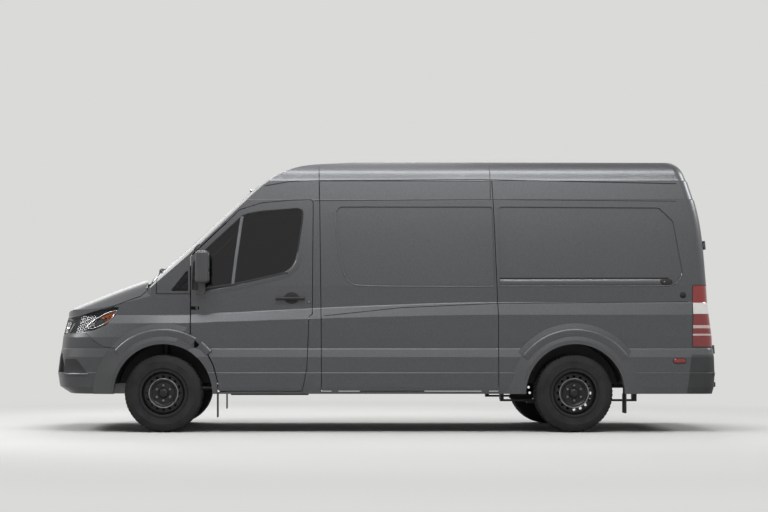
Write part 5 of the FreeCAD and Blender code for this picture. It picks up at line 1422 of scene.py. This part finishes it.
def sheet(front, back, wide):
    """A sheet between two grids of points, given row by row, with its rim closed."""
    count = len(front)
    rows = count // wide
    faces = []
    for r in range(rows - 1):
        for k in range(wide - 1):
            a = r * wide + k
            ring = (a, a + 1, a + wide + 1, a + wide)
            faces.append(ring)
            faces.append(tuple(count + i for i in reversed(ring)))
    rim = list(range(wide)) + [r * wide + wide - 1 for r in range(1, rows)]
    rim += [(rows - 1) * wide + k for k in range(wide - 2, -1, -1)]
    rim += [r * wide for r in range(rows - 2, 0, -1)]
    for a, b in zip(rim, rim[1:] + rim[:1]):
        faces.append((a, b, count + b, count + a))
    return front + back, faces


def board(tree, starts, wide, way, inset, thick):
    """A board that follows the inner side of a skin, met from a grid of starting points."""
    front = [struck(tree, start, way)[0] - way * inset for start in starts]
    return sheet(front, [p - way * thick for p in front], wide)


BOARD = primer_coat("pressed hardboard", "#3A3029", "#463B32")
for side, sign in SIDES.items():
    tree = skin("front_door_" + side)
    outward = Vector((0, sign, 0))
    starts = [(0.84 + 0.06 * k, 0, 0.70 + 0.05 * r) for r in range(10) for k in range(12)]
    piece("cab_door_lining_" + side, board(tree, starts, 12, outward, 0.004, 0.012), GREY_MOULDED,
          "front_door_" + side, angle=40)
    hit, _ = struck(tree, (1.10, 0, 0.98), outward)
    rest = slab(hit - Vector((0, sign * 0.014, 0)), AHEAD, UP, -outward, 0.380, 0.060, 0.034, 0.024, 0.002)
    piece("arm_rest_" + side, rest, DASH_SKIN, "front_door_" + side)
    back_tree = LEFT_BACK if sign > 0 else RIGHT_BACK
    starts = [(-2.2, sign * (0.12 + 0.055 * k), 0.80 + 0.09 * r) for r in range(15) for k in range(11)]
    piece("rear_door_lining_" + side, board(back_tree, starts, 11, -AHEAD, 0.003, 0.006), BOARD,
          "rear_door_" + side, angle=40)


# Load space: a resin-faced floor board with raised slip ribs, hat-section posts inside the body sides, bows
# under the roof, pressed ribs on the partition, and six steel lashing rings.

FLOOR_TOP = 0.5745
rib = slab(Vector((-1.13, -0.60, FLOOR_TOP)), AHEAD, LEFT, UP, 3.46, 0.016, 0.0035, 0.006)
in_rows("load_floor_ribs", rib, 21, (0, 0.060, 0), GREY_MOULDED)
press = slab(Vector((0.6180, -0.64, 1.400)), LEFT, UP, -AHEAD, 0.050, 1.05, 0.008, 0.020, 0.001)
in_rows("partition_ribs", press, 9, (0, 0.160, 0), PRIMER)
HAT = [(-0.040, 0.000), (-0.026, 0.001), (-0.020, 0.020), (0.020, 0.020), (0.026, 0.001), (0.040, 0.000),
       (0.040, -0.002), (-0.040, -0.002)]


def stiffener(tree, starts, way):
    """A hat section along the inner side of a skin, where rays from the starting points meet it."""
    line = [hit for hit in (tree.ray_cast(Vector(start), way)[0] for start in starts) if hit is not None]
    return swept(line, [-way] * len(line), HAT, False)


for side, sign in SIDES.items():
    walls = skin("side_panel_" + side)
    posts = [stiffener(walls, [(x, 0, 1.02 + 0.065 * k) for k in range(14)], Vector((0, sign, 0)))
             for x in (-1.20, -1.62, -2.05, -2.48)]
    piece("side_posts_" + side, merged(posts), PRIMER)
ROOF_IN = skin("roof_panel")
bows = [stiffener(ROOF_IN, [(x, -0.63 + 0.07 * k, 1.9) for k in range(19)], UP)
        for x in (0.30, -0.35, -1.00, -1.65, -2.30)]
piece("roof_bows", merged(bows), PRIMER)


def ring_shape(centre, lean):
    """A round steel ring that leans on its foot."""
    verts, faces = [], []
    up = Vector((0, math.sin(lean), math.cos(lean)))
    side_way = AHEAD.cross(up)
    for i in range(24):
        angle = 2 * math.pi * i / 24
        ray = AHEAD * math.cos(angle) + up * math.sin(angle)
        for k in range(8):
            turn = 2 * math.pi * k / 8
            verts.append(centre + ray * (0.022 + 0.0035 * math.cos(turn)) + side_way * 0.0035
                         * math.sin(turn))
    for i in range(24):
        for k in range(8):
            a, b = i * 8 + k, i * 8 + (k + 1) % 8
            faces.append((a, b, ((i + 1) % 24) * 8 + (k + 1) % 8, ((i + 1) % 24) * 8 + k))
    return verts, faces


rings = []
for x in (0.45, -0.70, -2.60):
    for sign in SIDES.values():
        centre = Vector((x, sign * 0.648, 0.590))
        rings.append(ring_shape(centre, sign * 1.1))
        foot = Vector((x, sign * 0.655, FLOOR_TOP))
        rings.append(slab(foot, AHEAD, LEFT, UP, 0.070, 0.036, 0.005, 0.010))
piece("lashing_rings", merged(rings), NUT_STEEL, angle=60)


# Underbody details: two steel brake pipes, side by side, clipped along the inner face of the left frame rail.

route = [(1.70, 0.36, 0.512), (1.20, 0.36, 0.500), (0.40, 0.345, 0.500), (-0.80, 0.345, 0.500),
         (-1.30, 0.36, 0.512)]
pipes = []
for aside in (0.0, 0.016):
    path = even(rounded([(x, y + aside, z) for x, y, z in route], False, 3), 0.05, False)
    pipes.append(swept(path, [-UP] * len(path), round_section(0.004, 8), False))
piece("brake_pipes", merged(pipes), EXHAUST_STEEL, angle=60)


# Wheel-arch flares: the pressed sheet swells out over each wheel, so that its upper half is lit and its edge
# lies in shade. The front one runs on over the foot of the cab door.

FLARE = [(-0.046, -0.002), (-0.044, 0.0005), (-0.016, 0.0085), (0.018, 0.0150), (0.032, 0.0150),
         (0.040, 0.008), (0.042, -0.002)]
ARCH_SKIN = skin("front_bumper", *both("side_panel", "wing", "sliding_door"))


def arch_line(axle, first, last):
    """Places seen from the side along a wheel arch, between two angles in degrees."""
    radius = 0.535
    count = max(4, round((last - first) / 4))
    angles = [math.radians(first + (last - first) * k / count) for k in range(count + 1)]
    return [(axle + radius * math.cos(a), HUB_HEIGHT + radius * math.sin(a)) for a in angles]


for side, sign in SIDES.items():
    section = [(a * sign, h) for a, h in FLARE]
    outward = Vector((0, sign, 0.08)).normalized()
    flares = []
    for axle, first, last in ((FRONT_AXLE, 42, 121), (REAR_AXLE, 36, 144)):
        spots = [on_side(ARCH_SKIN, x, z, sign) for x, z in arch_line(axle, first, last)]
        flares.append(swept([p for p, _ in spots], [outward] * len(spots), section, False))
    piece("arch_flares_" + side, merged(flares), PAINT, angle=50)
    door_skin = skin("front_door_" + side)
    spots = [on_side(door_skin, x, z, sign) for x, z in arch_line(FRONT_AXLE, 126.5, 139)]
    foot = swept([p for p, _ in spots], [outward] * len(spots), section, False)
    piece("door_flare_" + side, foot, PAINT, "front_door_" + side, 50)


# Bumper corners: each pocket runs round the side as a dark moulded insert over a broad painted lip.

POCKET_ROWS = [(0.530, 2.872, 2.672), (0.560, 2.876, 2.694), (0.595, 2.880, 2.720), (0.630, 2.884, 2.745),
               (0.655, 2.880, 2.772)]
CORNER_LIP = [(-0.012, -0.002), (-0.011, 0.003), (-0.003, 0.0095), (0.004, 0.009), (0.010, 0.002),
              (0.011, -0.002)]
for side, sign in SIDES.items():
    outer, inner = [], []
    for z, ahead, behind in POCKET_ROWS:
        for k in range(9):
            hit, out = on_side(BUMPER_FRONT, behind + (ahead - behind) * k / 8, z, sign)
            outer.append(hit + out * 0.0016)
            inner.append(hit - out * 0.003)
    piece("corner_insert_" + side, sheet(outer, inner, 9), MOULDED, angle=60)
    spots = [on_side(BUMPER_FRONT, 2.655 + 0.02 * k, 0.519, sign) for k in range(12)]
    section = [(a * sign, h) for a, h in CORNER_LIP]
    piece("corner_lip_" + side, swept(*zip(*spots), section, False), PAINT, angle=60)
